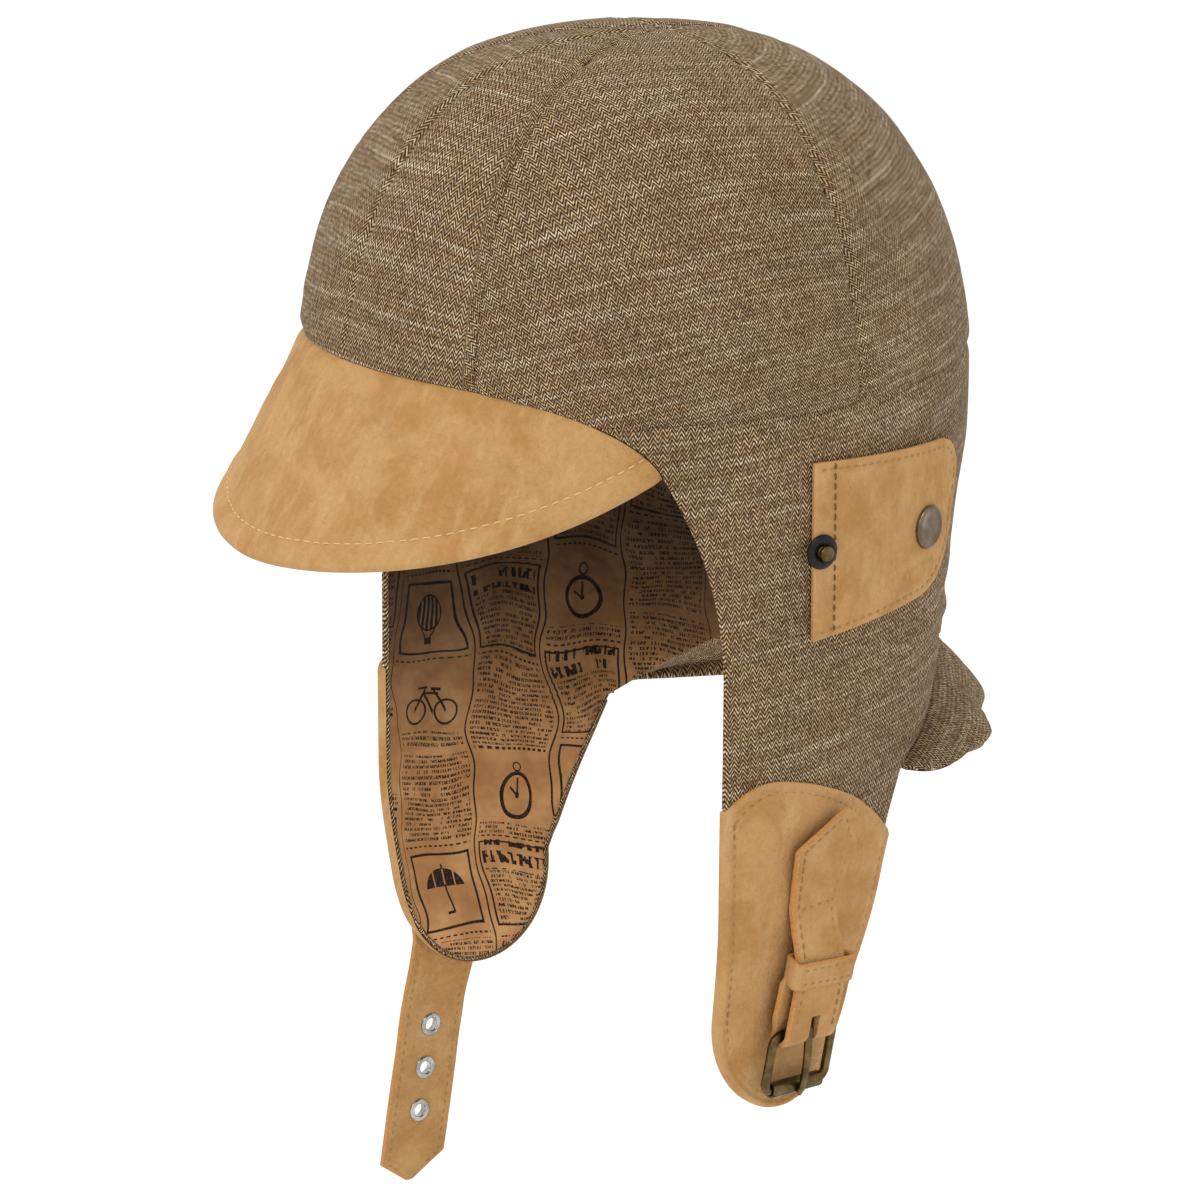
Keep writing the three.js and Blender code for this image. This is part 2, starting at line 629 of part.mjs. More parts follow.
function snapTab() {
  const length = (TAB_REAR_ANGLE - TAB_FRONT_ANGLE) * degreeLength(CAP_ANGLE, CAP_HEIGHT);
  const at = (i, j, depth) => {
    const back = Math.sin((i / TAB_COLUMNS) * (Math.PI / 2));
    const fromEnd = (1 - back) * length;
    const angle = mix(TAB_FRONT_ANGLE, TAB_REAR_ANGLE, back);
    const top = TAB_TOP - TAB_TOP_DROP * back - cornerFall(TAB_TOP_RADIUS, fromEnd);
    const bottom = TAB_BOTTOM + TAB_BOTTOM_RISE * back + cornerFall(TAB_BOTTOM_RADIUS, fromEnd);
    return wallPoint(angle, mix(top, bottom, j / TAB_ROWS), -tabStandOff(angle) - depth);
  };
  return sheet(TAB_COLUMNS, TAB_ROWS, (i, j) => at(i, j, SUEDE), (i, j) => at(i, j, 0));
}

// Turns a piece that stands on +Z so that it stands on a face, clear of it by a distance
function standOn(geometry, face, angle, z, clearance) {
  const normal = faceNormal(face, angle, z);
  const turn = new THREE.Quaternion().setFromUnitVectors(point(0, 0, 1), normal);
  const place = face(angle, z).addScaledVector(normal, clearance);
  const matrix = new THREE.Matrix4().compose(place, turn, point(1, 1, 1));
  return facingOut(geometry.clone().applyMatrix4(matrix));
}

// A turned piece from a closed profile of radius and height pairs
function turned(profile, sides) {
  const lathe = new THREE.LatheGeometry(profile.map(([r, h]) => new THREE.Vector2(r, h)), sides);
  lathe.rotateX(Math.PI / 2);
  lathe.deleteAttribute("normal");
  lathe.deleteAttribute("uv");
  return closedFrom(lathe);
}

function closedFrom(geometry) {
  const loose = geometry.index ? geometry.toNonIndexed() : geometry;
  const corners = loose.attributes.position;
  return closedBody(
    Array.from({ length: corners.count }, (_, k) => new THREE.Vector3().fromBufferAttribute(corners, k)));
}

function addSnap(side, place) {
  const hole = STUD_POST_RADIUS + GAP;
  const washer = turned([
    [hole, 0], [WASHER_RADIUS, 0], [WASHER_RADIUS, WASHER_THICKNESS / 2],
    [WASHER_RADIUS - WASHER_THICKNESS / 2, WASHER_THICKNESS], [hole, WASHER_THICKNESS], [hole, 0],
  ], ROUND_SIDES);
  const top = WASHER_THICKNESS + STUD_POST_LENGTH;
  const stud = turned([
    [0, 0], [STUD_POST_RADIUS, 0], [STUD_POST_RADIUS, top - 0.7], [STUD_POST_RADIUS - 0.6, top], [0, top],
  ], ROUND_SIDES);
  const cap = turned([
    [0, 0], [CAP_RADIUS, 0], [CAP_RADIUS, CAP_THICKNESS * 0.6], [CAP_RADIUS - 0.7, CAP_THICKNESS],
    [0, CAP_THICKNESS],
  ], CAP_SIDES);
  const onTab = (piece, angle, height) => place(standOn(piece, tabFace, angle, height, GAP));
  addPiece(`tab_washer_${side}`, onTab(washer, STUD_ANGLE, STUD_HEIGHT), MATERIALS.black);
  addPiece(`tab_stud_${side}`, onTab(stud, STUD_ANGLE, STUD_HEIGHT), MATERIALS.brass);
  addPiece(`tab_cap_${side}`, onTab(cap, CAP_ANGLE, CAP_HEIGHT), MATERIALS.bronze);
}

const tab = snapTab();
addPiece("tab_left", tab, MATERIALS.suede);
addSnap("left", (geometry) => geometry);
addPiece("tab_right", mirrored(tab), MATERIALS.suede);
addSnap("right", mirrored);

// Chin strap, buckle side. It is worked out in a flat frame on the left flap, whose origin lies on the
// flap's face at the middle of the buckle: along runs down the flap, across to the rear, out from the face.

function flapFrame(angle, z, slant) {
  const out = faceNormal(wallFace, angle, z);
  const across = point(-out.y, out.x, 0).normalize().applyAxisAngle(out, radians(-slant));
  const along = new THREE.Vector3().crossVectors(across, out).normalize();
  const origin = wallFace(angle, z);
  return {
    angle, origin, along, across, out,
    place: (a, c, o) =>
      origin.clone().addScaledVector(along, a).addScaledVector(across, c).addScaledVector(out, o),
    downTo: (height) => (height - z) / along.z,
    matrix: new THREE.Matrix4().makeBasis(along, across, out).setPosition(origin),
  };
}

// How far the wall's face stands out of the frame's plane at a length along it
function faceRise(frame, along) {
  const spot = { angle: frame.angle, z: frame.origin.z + along * frame.along.z };
  const offset = () => wallFace(spot.angle, spot.z).sub(frame.origin);
  for (let k = 0; k < 4; k++) {
    spot.angle -= offset().dot(frame.across) / degreeLength(spot.angle, spot.z);
    spot.z += (along - offset().dot(frame.along)) * frame.along.z;
  }
  return offset().dot(frame.out);
}

const buckleFrame = flapFrame(BUCKLE_STRAP_ANGLE, BUCKLE_CENTRE_HEIGHT, BUCKLE_STRAP_SLANT);
const barRadius = BUCKLE_WIRE / 2;
const buckleWidth = BUCKLE_STRAP_END_WIDTH + 2 * (BUCKLE_SIDE_CLEARANCE + BUCKLE_WIRE);
const topBar = -(BUCKLE_LENGTH / 2 - barRadius);
const bottomBar = -topBar;
const wrapRadius = barRadius + GAP + STRAP_THICKNESS / 2;
const barOut = patchFace + GAP + STRAP_THICKNESS / 2 + wrapRadius;

// Middle line of the buckle strap as along and out: down the face, up over the keeper's back, round the bar
// and back up behind itself
function buckleStrapLine() {
  const lying = patchFace + GAP + STRAP_THICKNESS / 2;
  const rise = (along) => Math.max(faceRise(buckleFrame, along), 0);
  const top = buckleFrame.downTo(BUCKLE_STRAP_TOP);
  const stitch = buckleFrame.downTo(BUCKLE_STRAP_CROSS_STITCH);
  const keeper = buckleFrame.downTo(KEEPER_HEIGHT);
  const raised = barOut + wrapRadius;
  const line = evenly(top, stitch, 4).map((along) => [along, rise(along) + lying]);
  const lift = evenly(stitch, topBar, 5).slice(1);
  lift.forEach((along) => {
    const share = ease((along - stitch) / (keeper - stitch));
    line.push([along, mix(rise(along) + lying, rise(along) + raised, share)]);
  });
  evenly(0, Math.PI, 6).slice(1, -1).forEach((turn) => {
    line.push([topBar + wrapRadius * Math.sin(turn), barOut + wrapRadius * Math.cos(turn)]);
  });
  evenly(topBar, keeper - BACK_LAYER_PAST_KEEPER, 3).forEach((along) => {
    line.push([along, rise(along) + lying + BACK_LAYER_RISE * ease((topBar - along) / BACK_LAYER_LENGTH)]);
  });
  return line;
}

// A flat strap along a line of along and out pairs
function strapAlong(frame, line, halfWidth) {
  const side = (k) => {
    const [before, after] = [line[Math.max(k - 1, 0)], line[Math.min(k + 1, line.length - 1)]];
    const run = new THREE.Vector2(after[0] - before[0], after[1] - before[1]).normalize();
    return [-run.y, run.x];
  };
  const at = (i, j, sign) => {
    const [along, out] = line[j];
    const [dAlong, dOut] = side(j);
    const offset = (sign * STRAP_THICKNESS) / 2;
    return frame.place(along + dAlong * offset, (i - 1) * halfWidth(j), out + dOut * offset);
  };
  return sheet(2, line.length - 1, (i, j) => at(i, j, 1), (i, j) => at(i, j, -1));
}

function boxInFrame(frame, from, to) {
  const size = point(to[0] - from[0], to[1] - from[1], to[2] - from[2]);
  const box = new THREE.BoxGeometry(size.x, size.y, size.z);
  box.translate((from[0] + to[0]) / 2, (from[1] + to[1]) / 2, (from[2] + to[2]) / 2);
  return box.applyMatrix4(frame.matrix);
}

function buckleStrap() {
  const line = buckleStrapLine();
  const [half, endHalf] = [BUCKLE_STRAP_WIDTH / 2, BUCKLE_STRAP_END_WIDTH / 2];
  const top = line[0][0];
  const keeperEnd = buckleFrame.downTo(KEEPER_HEIGHT) + KEEPER_LENGTH / 2;
  const width = (j) => {
    const along = line[j][0];
    const fromPoint = clamp((along - top) / BUCKLE_STRAP_POINT, 0, 1);
    if (along < keeperEnd) return mix(half * STRAP_POINT_SHARE, half, fromPoint);
    return mix(half, endHalf, ease((along - keeperEnd) / (topBar - BUCKLE_CORNER - keeperEnd)));
  };
  const strap = toSolid(strapAlong(buckleFrame, line, width));
  const slotHalf = PRONG_WIDTH / 2 + SLOT_CLEARANCE;
  const slot = boxInFrame(
    buckleFrame,
    [topBar - SLOT_LENGTH, -slotHalf, patchFace],
    [topBar + BUCKLE_LENGTH, slotHalf, barOut + BUCKLE_LENGTH],
  );
  return fromSolid(strap.subtract(toSolid(slot)));
}
addPiece("buckle_strap", buckleStrap(), MATERIALS.suede);

// Keeper: a flat leather loop round both layers of the strap
function keeper() {
  const along = buckleFrame.downTo(KEEPER_HEIGHT);
  const rise = faceRise(buckleFrame, along);
  const inner = patchFace + GAP + KEEPER_THICKNESS;
  const halfIn = BUCKLE_STRAP_WIDTH / 2 + GAP;
  const line = buckleStrapLine();
  const near = line.filter(([a]) => Math.abs(a - along) < KEEPER_LENGTH).map(([, o]) => o);
  const outerEnd = Math.max(...near) + STRAP_THICKNESS / 2 + GAP;
  const outline = (grow) => {
    const shape = new THREE.Shape();
    const [low, high] = [rise + inner - grow, outerEnd + grow];
    const half = halfIn + grow;
    shape.moveTo(-half, low);
    shape.lineTo(half, low);
    shape.lineTo(half, high);
    shape.lineTo(-half, high);
    shape.closePath();
    return shape;
  };
  const ring = outline(KEEPER_THICKNESS);
  ring.holes.push(outline(0));
  const body = new THREE.ExtrudeGeometry(ring, { depth: KEEPER_LENGTH, bevelEnabled: false });
  const turn = new THREE.Matrix4().makeBasis(point(0, 1, 0), point(0, 0, 1), point(1, 0, 0));
  body.applyMatrix4(turn).translate(along - KEEPER_LENGTH / 2, 0, 0).applyMatrix4(buckleFrame.matrix);
  return closedFrom(body);
}

addPiece("keeper", keeper(), MATERIALS.suede);

// Buckle: a rounded frame of wire in the plane of the bar
function roundedPath(width, length, radius) {
  const shape = new THREE.Shape();
  const [w, l] = [width / 2, length / 2];
  shape.moveTo(-l + radius, -w);
  shape.lineTo(l - radius, -w);
  shape.absarc(l - radius, -w + radius, radius, -Math.PI / 2, 0);
  shape.lineTo(l, w - radius);
  shape.absarc(l - radius, w - radius, radius, 0, Math.PI / 2);
  shape.lineTo(-l + radius, w);
  shape.absarc(-l + radius, w - radius, radius, Math.PI / 2, Math.PI);
  shape.lineTo(-l, -w + radius);
  shape.absarc(-l + radius, -w + radius, radius, Math.PI, Math.PI * 1.5);
  return shape;
}

// A closed round wire along a flat closed path in the frame's plane
function closedWire(path, radius, sides) {
  const ring = path.getPoints(CORNER_STEPS).slice(0, -1);
  const spots = ring.filter((p, k) => p.distanceTo(ring[(k + 1) % ring.length]) > 1e-3);
  const at = (i, j) => {
    const here = spots[i % spots.length];
    const before = spots[(i - 1 + spots.length) % spots.length];
    const after = spots[(i + 1) % spots.length];
    const intoCorner = here.clone().sub(before).normalize();
    const outOfCorner = after.clone().sub(here).normalize();
    const run = intoCorner.clone().add(outOfCorner).normalize();
    const stretch = 1 / run.dot(outOfCorner);
    const turn = (2 * Math.PI * j) / sides;
    const aside = radius * Math.cos(turn) * stretch;
    return buckleFrame.place(here.x + run.y * aside, here.y - run.x * aside, barOut + radius * Math.sin(turn));
  };
  const triangles = [];
  for (let i = 0; i < spots.length; i++) {
    for (let j = 0; j < sides; j++) {
      const [a, b, c, d] = [at(i, j), at(i + 1, j), at(i + 1, (j + 1) % sides), at(i, (j + 1) % sides)];
      triangles.push(a, b, c, a, c, d);
    }
  }
  return closedBody(triangles);
}
const wirePath = roundedPath(buckleWidth - BUCKLE_WIRE, BUCKLE_LENGTH - BUCKLE_WIRE, BUCKLE_CORNER - barRadius);
addPiece("buckle_frame", closedWire(wirePath, barRadius, 7), MATERIALS.brass);

function roller() {
  const hole = barRadius + GAP;
  const half = buckleWidth / 2 - BUCKLE_CORNER - ROLLER_END_GAP;
  const tube = turned([
    [hole, -half], [ROLLER_RADIUS, -half], [ROLLER_RADIUS, half], [hole, half], [hole, -half],
  ], ROUND_SIDES);
  tube.rotateX(-Math.PI / 2).translate(bottomBar, 0, barOut).applyMatrix4(buckleFrame.matrix);
  return facingOut(tube);
}
addPiece("buckle_roller", roller(), MATERIALS.brass);

// Prong: an eye round the top bar and an arm that rests on the roller
function prong() {
  const eye = barRadius + GAP;
  const rim = eye + PRONG_WIRE * 0.6;
  const seat = ROLLER_RADIUS + GAP;
  const tip = bottomBar - topBar + ROLLER_RADIUS;
  const shape = new THREE.Shape();
  shape.absarc(0, 0, rim, radians(10), radians(90), true);
  shape.lineTo(tip * 0.45, rim);
  shape.lineTo(tip * 0.62, seat + PRONG_WIRE * 0.75);
  shape.lineTo(tip - 1, seat + PRONG_WIRE * 0.6);
  shape.lineTo(tip, seat + 0.6);
  shape.lineTo(tip - 0.6, seat);
  shape.lineTo(tip * 0.6, seat);
  shape.lineTo(tip * 0.42, rim - PRONG_WIRE * 0.8);
  shape.closePath();
  const hole = new THREE.Path();
  hole.absarc(0, 0, eye, 0, Math.PI * 2);
  shape.holes.push(hole);
  const body = new THREE.ExtrudeGeometry(shape, {
    depth: PRONG_WIDTH, bevelEnabled: false, curveSegments: ROUND_SIDES,
  });
  const stand = new THREE.Matrix4().makeBasis(point(1, 0, 0), point(0, 0, 1), point(0, 1, 0));
  body.applyMatrix4(stand).translate(topBar, -PRONG_WIDTH / 2, barOut).applyMatrix4(buckleFrame.matrix);
  return closedFrom(body);
}
addPiece("buckle_prong", prong(), MATERIALS.brass);

// Chin strap, eyelet side. It is worked out on the left like every side piece and then mirrored.

const releaseHeight = -FLAP_LENGTH + EYELET_STRAP_RELEASE;

function eyeletStrapFrame(z) {
  const clear = patchFace + GAP;
  if (z >= releaseHeight) {
    const out = faceNormal(wallFace, EYELET_ANGLE, z);
    return { middle: wallPoint(EYELET_ANGLE, z, -clear), out, across: point(-out.y, out.x, 0).normalize() };
  }
  const top = wallPoint(EYELET_ANGLE, releaseHeight, -clear);
  const start = faceNormal(wallFace, EYELET_ANGLE, releaseHeight);
  const share = (releaseHeight - z) / (releaseHeight - EYELET_STRAP_BOTTOM);
  const settled = ease(share * EYELET_STRAP_HASTE);
  const turn = radians(EYELET_STRAP_TWIST) * settled;
  const out = start.clone().setZ(start.z * (1 - settled)).normalize().applyAxisAngle(point(0, 0, 1), -turn);
  const middle = point(top.x + EYELET_STRAP_SPREAD * settled, top.y - EYELET_STRAP_LEAN * share, z);
  return { middle, out, across: point(-out.y, out.x, 0).normalize() };
}

function eyeletStrap() {
  const tipTop = EYELET_STRAP_BOTTOM + EYELET_STRAP_POINT;
  const heights = [
    ...evenly(EYELET_STRAP_TOP, releaseHeight, 4),
    ...evenly(releaseHeight, tipTop, 8).slice(1),
    EYELET_STRAP_BOTTOM,
  ];
  const half = EYELET_STRAP_WIDTH / 2;
  const at = (i, j, depth) => {
    const z = heights[j];
    const { middle, out, across } = eyeletStrapFrame(z);
    const width = z >= tipTop ? half : half * STRAP_POINT_SHARE;
    return middle.addScaledVector(across, (i - 1) * width).addScaledVector(out, depth);
  };
  const strap = sheet(2, heights.length - 1, (i, j) => at(i, j, STRAP_THICKNESS), (i, j) => at(i, j, 0));
  return EYELET_HEIGHTS.reduce((solid, z) => {
    const radius = EYELET_BARREL + GAP;
    const drill = new THREE.CylinderGeometry(radius, radius, 4 * STRAP_THICKNESS, ROUND_SIDES);
    return solid.subtract(toSolid(drill.rotateX(Math.PI / 2).applyMatrix4(eyeletMatrix(z))));
  }, toSolid(strap));
}

function eyeletMatrix(z) {
  const { middle, out, across } = eyeletStrapFrame(z);
  const up = new THREE.Vector3().crossVectors(out, across);
  return new THREE.Matrix4().makeBasis(across, up, out)
    .setPosition(middle.addScaledVector(out, STRAP_THICKNESS / 2));
}

function eyelet(z) {
  const face = STRAP_THICKNESS / 2 + GAP;
  const ring = turned([
    [EYELET_HOLE_RADIUS, -face - EYELET_FLANGE], [EYELET_OUTER_RADIUS, -face - EYELET_FLANGE],
    [EYELET_OUTER_RADIUS, -face], [EYELET_BARREL, -face], [EYELET_BARREL, face],
    [EYELET_OUTER_RADIUS, face], [EYELET_OUTER_RADIUS, face + EYELET_FLANGE],
    [EYELET_HOLE_RADIUS, face + EYELET_FLANGE], [EYELET_HOLE_RADIUS, -face - EYELET_FLANGE],
  ], ROUND_SIDES);
  return ring.applyMatrix4(eyeletMatrix(z));
}
addPiece("eyelet_strap", mirrored(fromSolid(eyeletStrap())), MATERIALS.suede);
EYELET_HEIGHTS.forEach((z, k) => addPiece(`eyelet_${k + 1}`, mirrored(eyelet(z)), MATERIALS.nickel));

// Adjuster strap across the centre back
function backStrap() {
  const reach = 180 - BACK_STRAP_END_ANGLE;
  const at = (i, j, depth) => {
    const angle = BACK_STRAP_END_ANGLE + (2 * reach * i) / BACK_STRAP_COLUMNS;
    return wallPoint(angle, BACK_STRAP_HEIGHT + (j - 0.5) * BACK_STRAP_WIDTH, depth);
  };
  return sheet(BACK_STRAP_COLUMNS, 1, (i, j) => at(i, j, -GAP - SUEDE), (i, j) => at(i, j, -GAP));
}
addPiece("back_strap", backStrap(), MATERIALS.suede);

export default hat;
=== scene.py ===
import math

import bpy
import numpy as np
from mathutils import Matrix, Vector


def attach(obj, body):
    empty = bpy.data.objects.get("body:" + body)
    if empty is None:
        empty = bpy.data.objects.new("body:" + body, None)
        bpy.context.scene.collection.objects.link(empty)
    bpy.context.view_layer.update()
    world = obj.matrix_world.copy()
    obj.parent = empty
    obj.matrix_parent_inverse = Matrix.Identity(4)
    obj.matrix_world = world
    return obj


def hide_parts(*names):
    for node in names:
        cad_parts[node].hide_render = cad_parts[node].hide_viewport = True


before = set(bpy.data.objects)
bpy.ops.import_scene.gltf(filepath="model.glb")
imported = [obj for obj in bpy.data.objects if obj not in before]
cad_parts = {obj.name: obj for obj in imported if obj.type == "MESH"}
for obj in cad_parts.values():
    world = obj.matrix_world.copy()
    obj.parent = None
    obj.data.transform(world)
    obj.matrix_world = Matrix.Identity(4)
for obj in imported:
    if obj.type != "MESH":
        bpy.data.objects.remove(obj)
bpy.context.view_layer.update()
print("frame loaded:", len(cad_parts), "solids")

mm = 0.001

# Sizes that more than one piece follows, in millimetres and degrees
form = {
    "halfWidth": 89.5, "halfLength": 100.6, "domeHeight": 106.6,
    "sidePower": 2.28, "topPower": 2.56, "topForward": 4.4, "meetingBack": 9.0,
    "seams": [0.0, 30.5, 99.5, 180.0], "sideSeam": 13.3,
    "waistDepth": 8.0, "waistHeight": -74.0, "waistStart": 112.0, "waistFull": 152.0,
    "peakEnd": 63.0, "peakEndHeight": -2.0, "peakMiddle": 23.5, "peakSeamPower": 3.4, "peakSeamFall": 0.7,
    "flapLength": 197.0, "flapFront": 71.5, "flapRear": 104.0, "flapSway": 2.0, "frontCurve": 60.0,
    "tipRound": 32.0, "turn": 9.0, "lean": 9.0, "turnHeight": -60.0, "turnReach": 75.0, "leanHeight": -130.0,
    "neckTop": -79.0, "neckFoot": -111.0, "neckFootAngle": 116.0, "neckTilt": 8.0, "neckPower": 1.5,
    "cloth": 1.4, "lining": 1.0, "liningGap": 0.5, "suede": 1.8, "gap": 0.3, "patchGap": 0.4,
}


def mix(a, b, share):
    return a + (b - a) * share


def ease(share):
    # a cubic that leaves 0 and reaches 1 without a kink
    s = np.clip(share, 0, 1)
    return s * s * (3 - 2 * s)


def unit(v):
    return v / np.maximum(np.linalg.norm(v, axis=-1, keepdims=True), 1e-12)


def crowded(count, power=2.0):
    # shares from 0 to 1 that crowd at both ends
    t = np.linspace(-1, 1, count)
    return 0.5 + 0.5 * np.sign(t) * (1 - (1 - np.abs(t)) ** power)


def softNoise(x, y, seed):
    # random heights on a whole-number lattice, blended by a cubic:
    # smooth bumps about one unit wide, from -1 to 1
    lattice = np.random.default_rng(seed).uniform(-1, 1, (64, 64))
    x, y = np.broadcast_arrays(x, y)
    i, j = np.floor(x).astype(int), np.floor(y).astype(int)
    fx, fy = ease(x - i), ease(y - j)
    at = lambda a, b: lattice[a % 64, b % 64]
    low = mix(at(i, j), at(i + 1, j), fx)
    high = mix(at(i, j + 1), at(i + 1, j + 1), fx)
    return mix(low, high, fy)


def puckers(x, y, size, seed):
    # three layers of soft noise, each half as wide and less than half as high as the one before
    return (softNoise(x / size, y / size, seed) + 0.45 * softNoise(2.1 * x / size, 2.1 * y / size, seed + 1)
            + 0.2 * softNoise(4.3 * x / size, 4.3 * y / size, seed + 2))


# The wall of the hat as a function of an angle round from the front and a height


def domeSection(z):
    share = np.clip(z / form["domeHeight"], 0, 1)
    size = np.maximum(1 - share ** form["sidePower"], 0) ** (1 / form["topPower"])
    return size, -form["topForward"] * share * share


def wallInset(angle, z):
    # how far the wall stands in from the dome's foot: waist at the back, turned and leaning flaps
    back = ease((angle - form["waistStart"]) / (form["waistFull"] - form["waistStart"]))
    waist = form["waistDepth"] * back * ease(z / form["waistHeight"])
    across = np.clip((angle - form["flapFront"]) / (form["flapRear"] - form["flapFront"]), 0, 1)
    turn = form["turn"] * across * ease((form["turnHeight"] - z) / form["turnReach"])
    lean = form["lean"] * ease((form["leanHeight"] - z) / (form["flapLength"] + form["leanHeight"]))
    return waist + turn + lean


def wallFace(angle, z):
    # an oval of sine and cosine, shrunk by the dome's section and moved in along its own normal
    angle, z = np.broadcast_arrays(np.asarray(angle, float), np.asarray(z, float))
    size, shift = domeSection(z)
    x = form["halfWidth"] * np.sin(np.radians(angle))
    y = -form["halfLength"] * np.cos(np.radians(angle))
    out = unit(np.stack([x / form["halfWidth"] ** 2, y / form["halfLength"] ** 2, np.zeros_like(x)], -1))
    inset = wallInset(180 - np.abs(180 - np.abs(angle)), z)
    return np.stack([x * size, y * size + shift, z], -1) - out * inset[..., None]


def faceNormal(face, a, b, step=0.5):
    # the cross product of the two slopes of a surface
    return unit(np.cross(face(a + step, b) - face(a - step, b), face(a, b + step) - face(a, b - step)))


def wallPoint(angle, z, depth=0.0):
    # a point at a depth under the wall's face, along its normal
    angle, z = np.asarray(angle, float), np.asarray(z, float)
    depth = np.broadcast_to(depth, np.broadcast_shapes(angle.shape, z.shape, np.shape(depth)))
    return wallFace(angle, z) - faceNormal(wallFace, angle, z) * depth[..., None]


def degreeLength(angle, z):
    return np.linalg.norm(wallFace(angle + 0.5, z) - wallFace(angle - 0.5, z), axis=-1)


def peakSeamHeight(angle, clearance=0.0):
    end = form["peakEnd"] + clearance / degreeLength(form["peakEnd"], form["peakEndHeight"])
    share = np.clip(np.abs(angle) / end, 0, 1)
    arch = (1 - share ** form["peakSeamPower"]) ** form["peakSeamFall"]
    return mix(form["peakEndHeight"], form["peakMiddle"], arch) + clearance


def peakSeamAngle(z, clearance=0.0):
    end = form["peakEnd"] + clearance / degreeLength(form["peakEnd"], form["peakEndHeight"])
    tall = form["peakMiddle"] - form["peakEndHeight"]
    rise = np.clip((z - clearance - form["peakEndHeight"]) / tall, 0, 1)
    return end * (1 - rise ** (1 / form["peakSeamFall"])) ** (1 / form["peakSeamPower"])


def neckFootHeight(side):
    return form["neckFoot"] + side * form["neckTilt"]


def neckSeamHeight(angle, side):
    share = np.abs(180 - np.abs(angle)) / (180 - form["neckFootAngle"])
    return mix(form["neckTop"], neckFootHeight(side), np.clip(share, 0, 1) ** form["neckPower"])


tipTop = form["tipRound"] - form["flapLength"]


def tipShare(z):
    into = np.clip((tipTop - z) / form["tipRound"], 0, 1)
    return np.sqrt(1 - into * into)


def flapMiddle(side):
    return (form["flapFront"] + form["flapRear"]) / 2 + side * form["flapSway"]


def sideFrontAngle(z, side):
    edgeTop = form["peakEndHeight"] + form["gap"]
    start = peakSeamAngle(form["peakEndHeight"], form["gap"])
    below = np.clip((edgeTop - z) / form["frontCurve"], 0, 1)
    edge = mix(form["flapFront"] + side * form["flapSway"], start, (1 - below) ** 2)
    return np.where(z > edgeTop, peakSeamAngle(z, form["gap"]), mix(flapMiddle(side), edge, tipShare(z)))


def flapRearAngle(z, side):
    foot = neckFootHeight(side)
    down = np.clip((foot - z) / (foot - tipTop), 0, 1)
    edge = mix(form["neckFootAngle"], form["flapRear"] + side * form["flapSway"], down)
    return mix(flapMiddle(side), edge, tipShare(z))


def sideRearAngle(z, side):
    foot = neckFootHeight(side)
    share = np.clip((form["neckTop"] - z) / (form["neckTop"] - foot), 0, 1)
    seam = mix(180.0, form["neckFootAngle"], share ** (1 / form["neckPower"]))
    return np.where(z >= form["neckTop"], 180.0, np.where(z < foot, flapRearAngle(z, side), seam))


# Meshes from whole arrays


def smooth(mesh):
    # rounded shading, apart from edges that turn by more than 50 degrees
    mesh.shade_smooth()
    mesh.set_sharp_from_angle(angle=math.radians(50))


def putMesh(name, points, faces, uvs=None, body="hat", replaces=()):
    # points in millimetres, faces as lists of corner numbers, uvs in millimetres for each point
    volume = sum(np.sum(points[f[:, 0]] * np.cross(points[f[:, k]], points[f[:, k + 1]]))
                 for f in faces for k in range(1, f.shape[1] - 1))
    if volume < 0:
        faces = [f[:, ::-1] for f in faces]
    corners = np.concatenate([f.ravel() for f in faces]).astype(np.int32)
    sizes = np.concatenate([np.full(len(f), f.shape[1], np.int32) for f in faces])
    mesh = bpy.data.meshes.new(name)
    mesh.vertices.add(len(points))
    mesh.vertices.foreach_set("co", (points * mm).astype(np.float32).ravel())
    mesh.loops.add(len(corners))
    mesh.loops.foreach_set("vertex_index", corners)
    mesh.polygons.add(len(sizes))
    mesh.polygons.foreach_set("loop_start", np.concatenate([[0], np.cumsum(sizes)[:-1]]).astype(np.int32))
    mesh.polygons.foreach_set("loop_total", sizes)
    mesh.update(calc_edges=True)
    if uvs is not None:
        layer = mesh.uv_layers.new(name="weave")
        layer.data.foreach_set("uv", uvs[corners].astype(np.float32).ravel())
    mesh.validate(clean_customdata=False)
    smooth(mesh)
    piece = bpy.data.objects.new(name, mesh)
    bpy.context.scene.collection.objects.link(piece)
    if replaces:
        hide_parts(*replaces)
    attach(piece, body)
    return piece


def gridQuads(columns, rows, start=0, wrapColumns=False, wrapRows=False):
    i = np.arange(columns if wrapColumns else columns - 1)[:, None]
    j = np.arange(rows if wrapRows else rows - 1)[None, :]
    ni, nj = (i + 1) % columns, (j + 1) % rows
    corners = [i * rows + j, ni * rows + j, ni * rows + nj, i * rows + nj]
    return start + np.stack([np.broadcast_to(c, (i.size, j.size)) for c in corners], -1).reshape(-1, 4)


def shell(outer, inner):
    # two faces on the same grid and the rim between them
    columns, rows = outer.shape[:2]
    count = columns * rows
    front = gridQuads(columns, rows)
    back = gridQuads(columns, rows, count)[:, ::-1]
    index = np.arange(count).reshape(columns, rows)
    ring = np.concatenate([index[:-1, 0], index[-1, :-1], index[:0:-1, -1], index[0, :0:-1]])
    after = np.roll(ring, -1)
    rim = np.stack([after, ring, ring + count, after + count], -1)
    points = np.concatenate([outer.reshape(-1, 3), inner.reshape(-1, 3)])
    return points, [np.concatenate([front, back]), rim]


